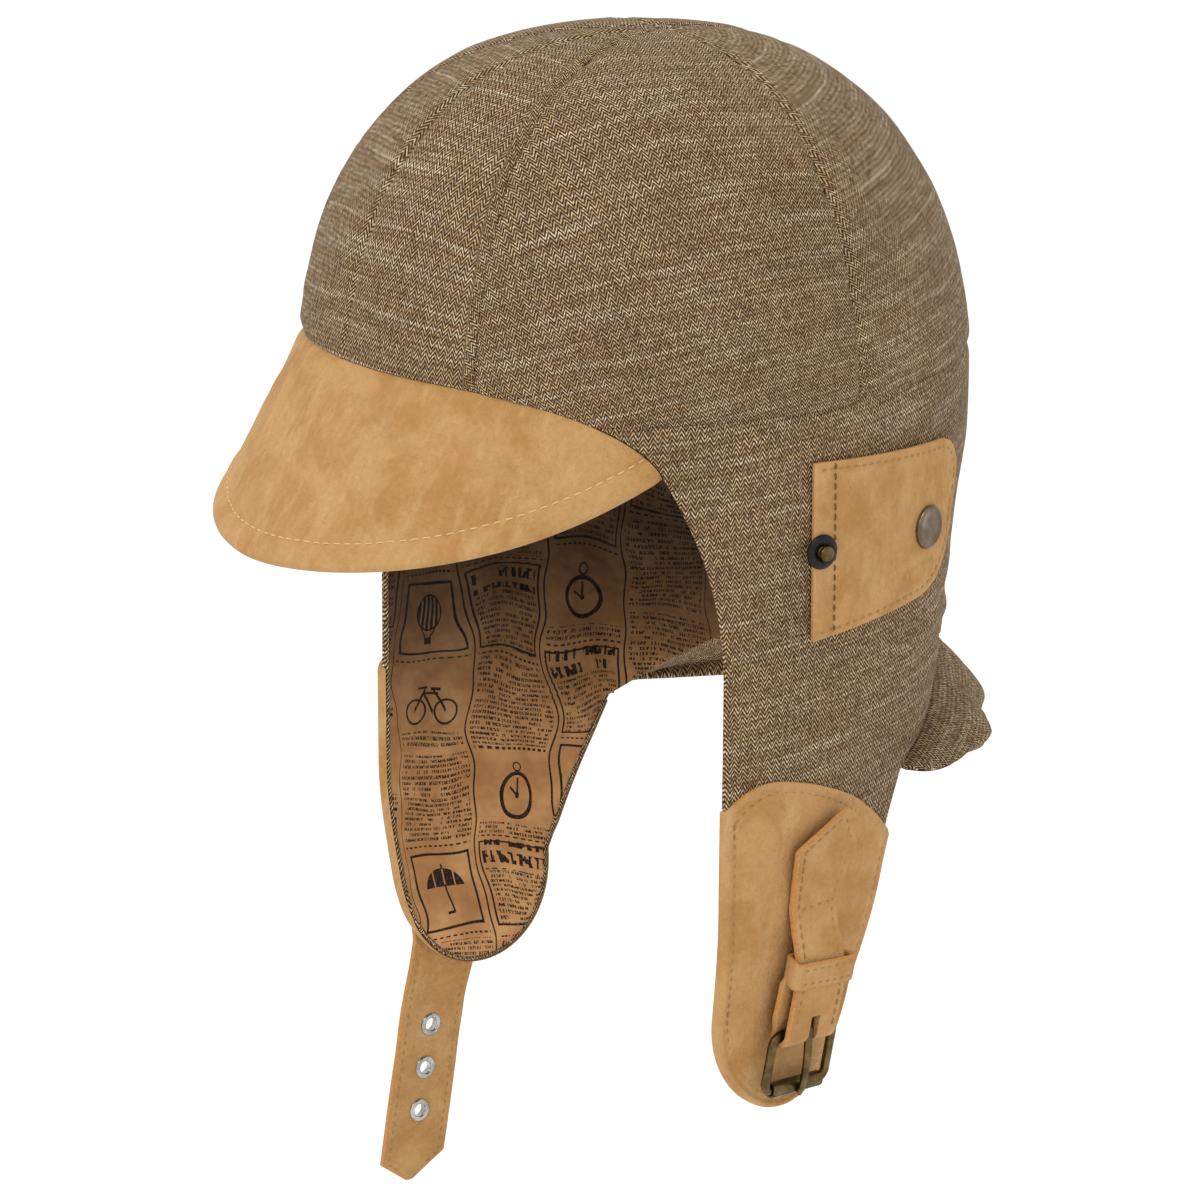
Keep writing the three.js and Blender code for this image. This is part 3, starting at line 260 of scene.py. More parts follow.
def tube(rings, closedPath=False):
    # rings[k, j] is point j of the section at step k; open ends are closed by a fan to their middle
    steps, sides = rings.shape[:2]
    points = rings.reshape(-1, 3)
    quads = gridQuads(steps, sides, wrapColumns=closedPath, wrapRows=True)
    if closedPath:
        return points, [quads]
    j = np.arange(sides)
    nj = (j + 1) % sides
    first, last = len(points), (steps - 1) * sides
    fans = np.concatenate([
        np.stack([np.full(sides, first), nj, j], -1),
        np.stack([np.full(sides, first + 1), last + j, last + nj], -1),
    ])
    return np.concatenate([points, rings[0].mean(0)[None], rings[-1].mean(0)[None]]), [quads, fans]


def walk(line):
    # distance walked along a line of points, from 0
    return np.concatenate([[0], np.cumsum(np.linalg.norm(np.diff(line, axis=0), axis=1))])


def lengths(grid, axis):
    # distance walked along one direction of a grid
    step = np.linalg.norm(np.diff(grid, axis=axis), axis=-1)
    zero = np.zeros_like(np.take(grid[..., 0], [0], axis))
    return np.concatenate([zero, np.cumsum(step, axis)], axis)


def outline(grid):
    # the points round a grid's four sides
    return np.concatenate([grid[0], grid[:, -1], grid[-1][::-1], grid[::-1, 0]])


def directions(a, b, closed=False):
    # unit steps along a line in two directions
    if closed:
        return unit(np.stack([np.roll(x, -1) - np.roll(x, 1) for x in (a, b)], -1))
    return unit(np.stack([np.gradient(a), np.gradient(b)], -1))


def gridNormals(grid):
    return unit(np.cross(np.gradient(grid, axis=0), np.gradient(grid, axis=1)))


def edgeFall(distance, radius):
    # a quarter circle: how far a face has sunk at a distance from its rounded edge
    into = np.clip(radius - distance, 0, radius)
    return radius - np.sqrt(radius * radius - into * into)


def dip(distance, depth, width):
    # a seam's valley, a bell curve of the distance
    return depth * np.exp(-((distance / width) ** 2))


# Materials: formulas are written on signals, and each operation adds a node of its own


def feed(tree, node, inputs, output=0):
    # links a signal to its socket, or sets a constant directly on it
    for key, value in inputs.items():
        if isinstance(value, Signal):
            tree.links.new(value.socket, node.inputs[key])
        else:
            node.inputs[key].default_value = value
    return Signal(tree, node.outputs[output])


def treeOf(*values):
    return next(value.tree for value in values if isinstance(value, Signal))


def calc(operation, *values):
    tree = treeOf(*values)
    node = tree.nodes.new("ShaderNodeMath")
    node.operation = operation
    return feed(tree, node, dict(enumerate(values)))


class Signal:
    def __init__(self, tree, socket):
        self.tree, self.socket = tree, socket

    def __add__(self, other):
        return calc("ADD", self, other)

    def __sub__(self, other):
        return calc("SUBTRACT", self, other)

    def __rsub__(self, other):
        return calc("SUBTRACT", other, self)

    def __mul__(self, other):
        return calc("MULTIPLY", self, other)

    def __truediv__(self, other):
        return calc("DIVIDE", self, other)

    def __lt__(self, other):
        return calc("LESS_THAN", self, other)

    def __gt__(self, other):
        return calc("GREATER_THAN", self, other)

    def __abs__(self):
        return calc("ABSOLUTE", self)


def fraction(value):
    return calc("FRACT", value)


def whole(value):
    return calc("FLOOR", value)


def srgb(r, g, b):
    linear = [(c / 255 / 12.92) if c <= 10.3 else ((c / 255 + 0.055) / 1.055) ** 2.4 for c in (r, g, b)]
    return (*linear, 1.0)


def newFinish(name, color, roughness, metallic=0.0, sheen=0.0):
    finish = bpy.data.materials.new(name)
    finish.use_nodes = True
    shader = finish.node_tree.nodes["Principled BSDF"]
    shader.inputs["Base Color"].default_value = color
    shader.inputs["Roughness"].default_value = roughness
    shader.inputs["Metallic"].default_value = metallic
    shader.inputs["Sheen Weight"].default_value = sheen
    shader.inputs["Sheen Roughness"].default_value = 0.5
    if metallic == 0.0:
        shader.inputs["Specular IOR Level"].default_value = 0.1
    return finish, finish.node_tree, shader


def blend(share, a, b, how="MIX"):
    tree = treeOf(share, a, b)
    node = tree.nodes.new("ShaderNodeMix")
    node.data_type = "RGBA"
    node.blend_type = how
    return feed(tree, node, {0: share, 6: a, 7: b}, 2)


def between(value, low, high, toLow=0.0, toHigh=1.0):
    node = value.tree.nodes.new("ShaderNodeMapRange")
    node.interpolation_type = "SMOOTHSTEP"
    return feed(value.tree, node, dict(enumerate((value, low, high, toLow, toHigh))))


def noise(place, scale, detail=2.0, roughness=0.5, distortion=0.0):
    node = place.tree.nodes.new("ShaderNodeTexNoise")
    return feed(place.tree, node, {
        "Vector": place, "Scale": scale, "Detail": detail, "Roughness": roughness, "Distortion": distortion,
    })


def vector(x, y, z=0.0):
    tree = treeOf(x, y, z)
    return feed(tree, tree.nodes.new("ShaderNodeCombineXYZ"), {0: x, 1: y, 2: z})


def randomCell(x, y, z=0.0):
    place = vector(x, y, z)
    return feed(place.tree, place.tree.nodes.new("ShaderNodeTexWhiteNoise"), {0: place})


def parts(place):
    node = place.tree.nodes.new("ShaderNodeSeparateXYZ")
    feed(place.tree, node, {0: place})
    return [Signal(place.tree, socket) for socket in node.outputs]


def clothPlace(tree):
    # the piece's own map and its u and v, in millimetres
    node = tree.nodes.new("ShaderNodeUVMap")
    node.uv_map = "weave"
    place = Signal(tree, node.outputs[0])
    return place, *parts(place)[:2]


def objectPlace(tree, stretch=None, turn=(0, 0, 0)):
    place = Signal(tree, tree.nodes.new("ShaderNodeTexCoord").outputs["Object"])
    if stretch is None:
        return place
    node = tree.nodes.new("ShaderNodeMapping")
    return feed(tree, node, {"Vector": place, "Scale": stretch, "Rotation": turn})


def toned(color, tone):
    # a colour made lighter or darker by a grey tone
    return blend(1.0, color, vector(tone, tone, tone), "MULTIPLY")


def paint(shader, color):
    feed(color.tree, shader, {"Base Color": color})


def relief(shader, height, distance, strength=1.0, under=None):
    node = height.tree.nodes.new("ShaderNodeBump")
    inputs = {"Distance": distance, "Strength": strength, "Height": height}
    if under is not None:
        inputs["Normal"] = under
    normal = feed(height.tree, node, inputs)
    feed(height.tree, shader, {"Normal": normal})
    return normal


herringbone = {
    "veeHalf": 1.32, "rowStep": 1.42, "steepness": 1.65, "float": 0.5,
    "dark": srgb(37, 23, 12), "darkWarm": srgb(88, 57, 31),
    "light": srgb(212, 183, 140), "slub": srgb(246, 230, 198),
}


def herringboneFinish():
    # zigzag rows of light floats on a dark ground: the phase is height plus a folded width
    s = herringbone
    finish, tree, shader = newFinish("brown herringbone", s["dark"], 0.92, sheen=0.03)
    place, u, v = clothPlace(tree)
    across = u + noise(place, 0.09) * 1.4
    down = v + noise(place, 0.05) * 2.4
    phase = (down + calc("PINGPONG", across, s["veeHalf"]) * s["steepness"]) / s["rowStep"]
    ridge = between(abs(fraction(phase) - 0.5), 0.3, 0.14)
    row = whole(phase)
    step = across / s["float"] + row * 0.37
    bead = between(abs(fraction(step) - 0.5), 0.5, 0.3)
    dash = randomCell(whole(step), row)
    streak = noise(vector(u * 0.03, v * 0.4), 1.0, 3.0, 0.6)
    slub = between(streak, 0.42, 0.74)
    patch = noise(place, 0.022, 3.0, 0.6)
    strength = (dash * 0.8 + 0.3) * (bead * 0.75 + 0.25) * (slub * 0.3 + 0.88)
    floats = ridge * strength
    ground = blend(between(noise(place, 0.9, 3.0, 0.7), 0.34, 0.68), s["dark"], s["darkWarm"])
    yarn = blend(slub * 0.7, s["light"], s["slub"])
    weave = blend(calc("MINIMUM", floats, 1.0), ground, yarn)
    paint(shader, toned(weave, patch * 0.5 + 0.74))
    relief(shader, floats, 0.0003, 0.6)
    return finish


suede = {
    "base": srgb(186, 144, 93), "light": srgb(202, 164, 116),
    "dark": srgb(173, 128, 76), "deep": srgb(144, 102, 58),
}


def suedeFinish():
    # brushed nap: soft pale and dark patches, short strokes, tufts and fine grain
    s = suede
    finish, tree, shader = newFinish("tan suede", s["base"], 0.93, sheen=0.05)
    place = objectPlace(tree)
    patch = noise(place, 48.0, 4.0, 0.62, 0.5)
    strokes = noise(objectPlace(tree, (260.0, 110.0, 60.0), (0.5, 0.3, 0.7)), 1.0, 4.0, 0.65)
    smudge = noise(objectPlace(tree, (30.0, 60.0, 44.0), (0.2, 0.9, 0.4)), 1.0, 5.0, 0.7)
    tuft = noise(place, 620.0, 3.0, 0.65)
    grain = noise(place, 2000.0, 2.0, 0.7)
    color = blend(between(patch, 0.38, 0.6), s["dark"], s["base"])
    color = blend(between(strokes, 0.46, 0.74) * 0.45, color, s["light"])
    color = blend(between(smudge, 0.56, 0.76) * 0.36, color, s["deep"])
    paint(shader, toned(color, (grain * 0.22 + 0.89) * (tuft * 0.3 + 0.85)))
    soft = relief(shader, smudge, 0.0024, 0.55)
    tufted = relief(shader, tuft, 0.0008, 0.7, soft)
    relief(shader, grain, 0.0003, 0.6, tufted)
    return finish


def metalFinish(name, low, high, roughness, metallic=1.0, wear=900.0):
    # two tones mixed by tarnish, which also dulls the shine
    finish, tree, shader = newFinish(name, high, roughness, metallic)
    place = objectPlace(tree)
    tarnish = noise(place, wear, 4.0, 0.65)
    paint(shader, blend(between(tarnish, 0.38, 0.62), low, high))
    feed(tree, shader, {"Roughness": between(tarnish, 0.3, 0.7, roughness + 0.16, roughness - 0.06)})
    relief(shader, noise(place, 1500.0), 0.00003, 0.2)
    return finish


def threadFinish(name, color):
    finish, tree, shader = newFinish(name, color, 0.75, sheen=0.1)
    ply = noise(objectPlace(tree), 3500.0, 1.0)
    paint(shader, toned(color, ply * 0.5 + 0.75))
    return finish


# Lining print: columns of ticked lines, rules and small pictures of plain things
lining = {
    "paper": srgb(202, 153, 102), "paperDark": srgb(176, 124, 76), "ink": srgb(28, 18, 11),
    "columnWidth": 25.0, "gutter": 2.8, "blockHeight": 29.0, "margin": 1.2,
    "linePitch": 1.6, "textPitch": 2.8, "headPitch": 5.2,
    "pictureScale": 1.45, "pictureFrom": 0.74, "pictureShare": 0.065,
    # the first three keys on the next line give the painted shade inside the crown: the heights in metres
    # where it starts and where it is full, and its darkest tone
    "paintedShadeFrom": -0.15, "paintedShadeTo": -0.065, "paintedShadeTone": 0.15, "twillPitch": 0.55,
}


def within(value, middle, half):
    # 1 where a value lies less than half a width from the middle
    return abs(value - middle) < half


def disc(at, cx, cy, radius):
    # 1 inside a circle
    dx, dy = at[0] - cx, at[1] - cy
    return calc("SQRT", dx * dx + dy * dy) < radius


def ring(at, cx, cy, radius, width):
    return disc(at, cx, cy, radius) - disc(at, cx, cy, radius - width)


def bar(at, cx, cy, halfX, halfY):
    # 1 inside a rectangle
    return within(at[0], cx, halfX) * within(at[1], cy, halfY)


def frameOf(at, halfX, halfY, width):
    return bar(at, 0.0, 0.0, halfX, halfY) - bar(at, 0.0, 0.0, halfX - width, halfY - width)


def slanted(at, cx, cy, slope, half, reach):
    # a thin sloping line of a limited width
    aside = at[0] - cx
    return (abs(at[1] - cy - aside * slope) < half) * (abs(aside) < reach)


def either(*masks):
    found = masks[0]
    for mask in masks[1:]:
        found = calc("MAXIMUM", found, mask)
    return found


def pictures(at):
    # a bicycle, a balloon, a pocket watch and an umbrella, about 12 mm wide
    bicycle = either(
        ring(at, -3.9, -2.2, 3.0, 0.5), ring(at, 3.9, -2.2, 3.0, 0.5), slanted(at, -2.2, 0.2, 1.5, 0.5, 1.6),
        slanted(at, 2.7, 0.4, -1.7, 0.55, 1.5), bar(at, 0.2, 1.9, 1.9, 0.28), bar(at, -1.2, 2.9, 1.1, 0.35),
        bar(at, 1.9, 3.3, 1.2, 0.28), slanted(at, 0.5, -0.4, 1.9, 0.6, 1.3))
    stripes = fraction(at[0] / 1.5) < 0.55
    balloon = either(
        disc(at, 0.0, 1.6, 4.2) * stripes, ring(at, 0.0, 1.6, 4.3, 0.4), bar(at, 0.0, -5.0, 1.0, 0.8),
        slanted(at, 1.4, -3.2, 1.3, 0.3, 0.9), slanted(at, -1.4, -3.2, -1.3, 0.3, 0.9))
    watch = either(
        ring(at, 0.0, -0.8, 4.6, 0.9), ring(at, 0.0, 5.0, 1.3, 0.4), bar(at, 0.0, 0.7, 0.28, 1.7),
        slanted(at, 1.0, -0.3, 0.6, 0.3, 1.2), disc(at, 0.0, -0.8, 0.6))
    dome = disc(at, 0.0, -0.6, 5.4) * (at[1] > 0.4)
    ribs = abs(calc("SINE", at[0] * 1.15)) > 0.22
    umbrella = either(
        dome * ribs, bar(at, 0.0, -2.2, 0.25, 3.0), bar(at, 0.8, -5.1, 1.0, 0.28),
        bar(at, 0.0, 5.2, 0.25, 0.6))
    return [bicycle, balloon, watch, umbrella]


def ticks(u, v, step, fill, width, seed):
    # broken lines: each row is cut into words of random length, and each word into uneven ticks
    row = whole(v / step)
    thick = fraction(v / step) < fill
    broken = noise(vector(u / (width * 3.2), row * 7.3, seed), 1.0, 1.0) < 0.57
    marks = randomCell(whole(u / width), row, seed)
    stems = fraction(u / width) < marks * 0.3 + 0.2
    scrawl = noise(vector(u / (width * 0.62), v / (step * 0.5), seed), 1.0, 1.0) > 0.53
    return thick * broken * either(stems, scrawl)


def liningFinish():
    s = lining
    finish, tree, shader = newFinish("printed satin lining", s["paper"], 0.55, sheen=0.08)
    place, flatU, flatV = clothPlace(tree)
    # the print's place, warped a little by soft noise
    u = flatU + noise(place, 0.034, 1.0) * 14.0
    v = flatV + flatU * -0.12 + noise(place, 0.03, 1.0) * 12.0
    pitch, tall = s["columnWidth"] + s["gutter"], s["blockHeight"]
    column = whole(u / pitch)
    x = fraction(u / pitch) * pitch - pitch / 2
    lifted = (v + randomCell(column, 3.0) * tall) / tall
    block = whole(lifted)
    y = fraction(lifted) * tall - tall / 2
    pick = randomCell(column, block, 7.0)

    def chosen(low, high):
        return within(pick, (low + high) / 2, (high - low) / 2)

    small = ticks(u, v, s["linePitch"], 0.6, 0.8, 1.0)
    medium = ticks(u, v, s["textPitch"], 0.62, 1.35, 9.0)
    large = ticks(u, v, s["headPitch"], 0.68, 2.7, 5.0)
    upper = y > tall * 0.14
    headed = either(large * upper, small * (1.0 - upper)) * within(x, 0.0, 11.0)
    headed = either(headed, frameOf((x, y), 12.3, 13.0, 0.6))
    plate = bar((x, y), 0.5, 3.5, 8.4, 6.6) * (1.0 - medium)
    plate = either(plate, small * (y < -5.0))
    ink = either(small * chosen(0.0, 0.26), headed * chosen(0.26, 0.5), medium * chosen(0.5, 0.64),
                 plate * chosen(0.64, 0.74))
    caption = small * within(y, -11.6, 2.2)
    border = frameOf((x, y), 11.6, 12.0, 0.8)
    for k, picture in enumerate(pictures((x / s["pictureScale"], y / s["pictureScale"]))):
        start = s["pictureFrom"] + s["pictureShare"] * k
        drawn = either(picture, border if k % 2 else caption)
        ink = either(ink, drawn * chosen(start, start + s["pictureShare"]))
    inside = within(x, 0.0, s["columnWidth"] / 2)
    ink = ink * inside * within(y, 0.0, tall / 2 - s["margin"])
    ruled = randomCell(column, 11.0) > 0.35
    gutterLine = (abs(x) > pitch / 2 - 0.26) * ruled
    dotted = (fraction(u / 2.1) < 0.6) * (abs(y) > tall / 2 - 0.55) * (randomCell(column, block, 2.0) > 0.4)
    ink = either(ink, gutterLine, dotted * inside)
    worn = between(noise(place, 1.6, 3.0, 0.7), 0.3, 0.5, 0.7, 1.0)
    paper = blend(between(noise(place, 0.06, 3.0, 0.6), 0.35, 0.7), s["paperDark"], s["paper"])
    printed = blend(ink * worn, paper, s["ink"])
    # painted shade of the hat's deep inside: the lining is darker towards the crown, by height in metres
    paintedShade = between(parts(objectPlace(tree))[2], s["paintedShadeFrom"], s["paintedShadeTo"], 1.0, s["paintedShadeTone"])
    paint(shader, toned(printed, paintedShade))
    twill = calc("SINE", (u + v) * (2 * math.pi / s["twillPitch"]))
    soft = relief(shader, noise(place, 0.11), 0.003, 0.6)
    relief(shader, twill, 0.00006, 0.5, soft)
    return finish


finishes = {
    "herringbone": herringboneFinish(),
    "suede": suedeFinish(),
    "lining_print": liningFinish(),
    "black_metal": metalFinish("black oxide", srgb(12, 11, 11), srgb(26, 24, 23), 0.4, 0.5),
    "antique_brass": metalFinish("antique brass", srgb(76, 62, 38), srgb(112, 94, 60), 0.3, wear=160.0),
    "bronze": metalFinish("brushed bronze", srgb(104, 90, 74), srgb(126, 112, 94), 0.3, wear=120.0),
    "nickel": metalFinish("polished nickel", srgb(150, 149, 144), srgb(184, 184, 180), 0.22, wear=300.0),
}
cutSuede = metalFinish("cut suede edge", srgb(172, 122, 70), srgb(190, 140, 86), 0.9, 0.0, 1400.0)
suedeThread = threadFinish("tan thread", srgb(166, 124, 74))
paleThread = threadFinish("pale thread", srgb(214, 178, 126))
darkThread = threadFinish("brown thread", srgb(112, 78, 44))
print("finishes made")


sideNames = {1: "left", -1: "right"}


def dress(name, points, faces, slot, uvs=None, body="hat", nodes=(), finish=None, flipped=False):
    # flipped puts the same shape on the other side, where putMesh turns its faces outwards again
    if flipped:
        points = points * np.array([-1.0, 1.0, 1.0])
    piece = putMesh(name, points, faces, uvs, body, nodes)
    several = isinstance(finish, list)
    for one in finish if several else [finish or finishes[slot]]:
        piece.data.materials.append(one)
    if several:
        groups = np.concatenate([np.full(len(f), k, np.int32) for k, f in enumerate(faces)])
        piece.data.polygons.foreach_set("material_index", groups)
    return piece


def along(line, count):
    # a line's points spread evenly by distance
    walked = walk(line)
    where = np.linspace(0, walked[-1], count)
    return np.stack([np.interp(where, walked, line[:, k]) for k in range(line.shape[1])], -1)


def nearest(grid, line):
    # distance of every grid point from a broken line, by its nearest stretch
    a, b = line[:-1], line[1:]
    flat = grid.reshape(-1, 1, 3)
    run = b - a
    share = np.clip(np.sum((flat - a) * run, -1) / np.maximum(np.sum(run * run, -1), 1e-9), 0, 1)
    return np.linalg.norm(flat - a - share[..., None] * run, axis=-1).min(1).reshape(grid.shape[:2])


# arc length of the wall round the foot of the dome, for patterns that follow the cloth
arcAngles = np.linspace(-180, 360, 1081)
arcWalk = walk(wallFace(arcAngles, 0.0))


def arc(angle):
    return np.interp(angle, arcAngles, arcWalk) - np.interp(0, arcAngles, arcWalk)


# Side panels with their ear flaps, and the linings behind them
sidePiece = {
    "columns": 104, "roll": 1.35, "band": 1.9, "seamDip": 0.9, "seamWidth": 1.7, "sag": 0.7,
    "creases": [(-58, -0.16, 0.56), (-70, -0.1, 0.84), (-80, -0.3, 0.49)], "tilt": 0.09, "liningInset": 1.0,
}


def sideRows(side):
    foot = neckFootHeight(side)
    tip = tipTop - form["tipRound"] * np.sin(np.linspace(0, math.pi / 2, 26)[1:])
    tip[-1] = -form["flapLength"] + 0.01
    seamAngles = np.linspace(180, form["neckFootAngle"], 26)[1:]
    return np.concatenate([
        np.linspace(form["sideSeam"], form["peakEndHeight"], 16),
        np.linspace(form["peakEndHeight"], form["neckTop"], 54)[1:],
        neckSeamHeight(seamAngles, side), np.linspace(foot, tipTop, 34)[1:], tip,
    ])


def sideGrid(side, inset=0.0):
    # angles between the front and the rear edge on rows of equal height
    z = sideRows(side)
    front, rear = sideFrontAngle(z, side), sideRearAngle(z, side)
    step = degreeLength(np.minimum(rear, 179.0), z)
    middle = flapMiddle(side)
    lowest = z < form["peakEndHeight"]
    front = np.where(lowest, np.minimum(front + inset / step, middle - 0.05), front + 0.02)
    rear = np.where(z < neckFootHeight(side), np.maximum(rear - inset / step, middle + 0.05), rear + 0.01)
    share = crowded(sidePiece["columns"], 1.7)[:, None]
    angle = mix(front, rear, share)
    height = np.broadcast_to(z, angle.shape).copy()
    if inset:
        height = np.maximum(height, -form["flapLength"] + inset)
    return angle, height


def sideEdges(angle, height, side):
    # distances from the free edges and from the sewn edges
    base = wallFace(angle, height)
    rows = sideRows(side)
    frontFree = rows <= form["peakEndHeight"] + 0.5
    rearFree = rows <= neckFootHeight(side) + 0.3
    free = np.concatenate([base[0, frontFree], base[:, -1], base[-1, rearFree][::-1]])
    sewn = [base[:, 0], base[0, ~frontFree], base[-1, ~rearFree]]
    return nearest(base, free), np.minimum.reduce([nearest(base, along(s, 90)) for s in sewn])


def makeSide(side):
    s = sidePiece
    angle, height = sideGrid(side)
    free, sewn = sideEdges(angle, height, side)
    u, v = arc(angle), height
    ripple = softNoise(u / 7, v / 7, 5 + side) * 0.35
    offset = s["sag"] * puckers(u, v, 34, 20 + side) - dip(sewn, s["seamDip"], s["seamWidth"]) * (1 + ripple)
    offset += 0.3 * softNoise(u / 5, v / 9, 31 + side) * np.exp(-sewn / 6)
    back = ease((angle - 100) / 40)
    # each crease is a sloping, wandering valley with a ridge above it, from its height, slope and depth
    for k, (level, slope, depth) in enumerate(s["creases"]):
        line = level + slope * (u - arc(150)) + 4 * softNoise(u / 24, 0 * v, 40 + k)
        offset -= depth * back * np.exp(-(((v - line) / 3.4) ** 2))
        offset += 0.6 * depth * back * np.exp(-(((v - line - 6.5) / 4.2) ** 2))
    offset *= ease(free / 9 + 0.25)
    roll = edgeFall(free, s["roll"])
    outer = wallPoint(angle, height, roll - offset)
    turned = 1.25 * (1 - ease(free - s["band"] + 1))
    inner = wallPoint(angle, height, form["cloth"] + turned - roll * 0.95 - offset)
    uv = np.stack([u, v - s["tilt"] * u], -1).reshape(-1, 2)
    points, faces = shell(outer, inner)
    dress(f"cloth_side_{sideNames[side]}", points, faces, "herringbone",
          np.concatenate([uv, uv + [0.7, 0.4]]), nodes=[f"side_panel_{sideNames[side]}"], flipped=side < 0)


def makeSideLining(side):
    angle, height = sideGrid(side, sidePiece["liningInset"])
    free = sideEdges(angle, height, side)[0]
    u, v = arc(angle), height
    depth = form["cloth"] + form["liningGap"]
    wave = 1.3 * puckers(u + 0.3 * v, v, 24, 60 + side)
    wave += 0.45 * softNoise((u + 0.5 * v) / 6, (v - 0.3 * u) / 17, 70 + side)
    wave = wave * ease(free / 9) - 0.9 * np.exp(-free / 1.8)
    wave = np.maximum(wave, -0.2 - 0.7 * np.exp(-free / 2.5))
    inner = wallPoint(angle, height, depth + form["lining"] + wave)
    outer = wallPoint(angle, height, depth)
    uv = np.stack([side * u, v], -1).reshape(-1, 2)
    points, faces = shell(outer, inner)
    dress(f"satin_side_{sideNames[side]}", points, faces, "lining_print", np.concatenate([uv, uv]),
          nodes=[f"lining_{sideNames[side]}"], flipped=side < 0)


for side in (1, -1):
    makeSide(side)
    makeSideLining(side)
print("side panels and their linings made")

# Crown: gores between straight plan lines that meet near the top
crown = {"columns": 56, "rows": 78, "seamDip": 1.0, "seamWidth": 1.8, "sag": 0.55, "strip": 3.0}


def domeHeightAt(x, y):
    # halving steps: the height at which the dome's level oval passes through a plan point
    low, high = np.zeros_like(x), np.full_like(x, form["domeHeight"])
    for _ in range(36):
        z = (low + high) / 2
        size, shift = domeSection(z)
        under = np.hypot(x / form["halfWidth"], (y - shift) / form["halfLength"]) < size
        low, high = np.where(under, z, low), np.where(under, high, z)
    return low


def domeNormal(x, y, z):
    def level(px, py, pz):
        size, shift = domeSection(pz)
        return np.hypot(px / form["halfWidth"], (py - shift) / form["halfLength"]) - size

    # the slopes of the level along the three axes
    step = 0.01
    above = np.minimum(z + step, form["domeHeight"])
    return unit(np.stack([
        level(x + step, y, z) - level(x - step, y, z), level(x, y + step, z) - level(x, y - step, z),
        level(x, y, above) - level(x, y, z - step),
    ], -1))


def crownRows(feet, shares):
    # out from the meeting point to the rim: the rim is found by halving steps, the rows lie between by a sine
    footX = form["halfWidth"] * np.sin(np.radians(feet))
    footY = -form["halfLength"] * np.cos(np.radians(feet))

    def at(sweep):
        x = footX * np.sin(sweep)
        y = mix(form["meetingBack"], footY, np.sin(sweep))
        return x, y, domeHeightAt(x, y)

    low, high = np.zeros_like(feet), np.full_like(feet, math.pi / 2)
    for _ in range(34):
        x, y, z = at((low + high) / 2)
        size, shift = domeSection(z)
        angle = np.degrees(np.arctan2(x / form["halfWidth"], -(y - shift) / form["halfLength"]))
        rim = np.maximum(peakSeamHeight(angle, 0.05), form["sideSeam"])
        above = (size == 0) | (z > rim)
        low, high = np.where(above, (low + high) / 2, low), np.where(above, high, (low + high) / 2)
    x, y, z = at(low * shares[:, None])
    return np.stack([x, y, z], -1), domeNormal(x, y, z)


def makeCrownPanel(k, name, tilt, bow):
    s = crown
    start, end = form["seams"][k], form["seams"][k + 1]
    feet = mix(start - 0.02, end + 0.02, crowded(s["columns"], 1.8))
    shares = np.concatenate([[0.004], np.linspace(0.02, 0.93, s["rows"] - 14), np.linspace(0.93, 1, 14)[1:]])
    base, normal = crownRows(feet, shares)
    base, normal = base.transpose(1, 0, 2), normal.transpose(1, 0, 2)
    across = lengths(base, 0)
    seamNear = np.minimum(across, across[-1:] - across)
    down = lengths(base, 1)
    rim = down[:, -1:] - down
    middle = across - across[-1:] / 2
    ripple = 1 + 0.4 * softNoise(down / 6, 0 * down, 80 + k)
    offset = s["sag"] * puckers(across, down, 30, 90 + k) * ease(seamNear / 9)
    offset -= dip(seamNear, s["seamDip"], s["seamWidth"]) * ripple
    offset += 0.25 * np.sin(down * 0.9 + 3 * softNoise(down / 9, 0 * down, 85 + k)) * np.exp(-seamNear / 2.6)
    offset -= dip(rim, s["seamDip"], s["seamWidth"])
    # the cloth's rows are level rings, mixed by bow with great circles that cross the panel's middle line
    facing = np.radians((start + end) / 2)
    ahead = base[..., 0] * np.sin(facing) - base[..., 1] * np.cos(facing)
    aside = base[..., 0] * np.cos(facing) + base[..., 1] * np.sin(facing)
    radius = form["domeHeight"] - 5
    away = np.linalg.norm(base, axis=-1)
    flat = radius * np.arcsin(aside / away)
    level = radius * np.arcsin(base[..., 2] / away)
    climb = mix(level, radius * np.arctan2(base[..., 2], ahead), bow)
    uv = np.stack([flat + tilt * climb, climb - tilt * flat], -1)
    if k == 0:
        # the front seam is covered by a strip of the cloth, cut on the slant
        strip = across[-1:] - across < s["strip"]
        offset = offset + 0.22 * strip * ease(down / 20) * ease(seamNear / 1.2)
        uv = np.where(strip[..., None], np.stack([climb * 0.7 + middle, middle - climb * 0.7], -1), uv)
    outer = base + normal * offset[..., None]
    inner = base - normal * form["cloth"]
    points, faces = shell(outer, inner)
    uv = uv.reshape(-1, 2)
    for side, label in sideNames.items():
        dress(f"cloth_crown_{name}_{label}", points, faces, "herringbone", np.concatenate([uv, uv]),
              nodes=[f"crown_panel_{name}_{label}"], flipped=side < 0)


for k, (name, tilt, bow) in enumerate([("front", -0.06, 1.0), ("side", 0.2, 0.8), ("rear", 0.04, 0.25)]):
    makeCrownPanel(k, name, tilt, bow)


def makeCrownLining():
    # rings from the top out to the rim on both faces of the satin, each closed by its own pole
    feet = np.linspace(-180, 180, 145)[:-1]
    base, normal = crownRows(feet, np.concatenate([[0.02], np.linspace(0.06, 1, 44)]))
    u, v = base[..., 0], base[..., 1]
    wave = 0.9 * puckers(u + 200, v + 200, 26, 110)
    depth = form["cloth"] + form["liningGap"]
    outer = base - normal * depth
    inner = base - normal * (depth + form["lining"] + np.maximum(wave, -0.8))[..., None]
    points, faces = tube(np.concatenate([outer, inner[::-1]]))
    dress("satin_crown", points, faces, "lining_print", points[:, :2].copy(), nodes=["lining_crown"])


makeCrownLining()
print("crown made")

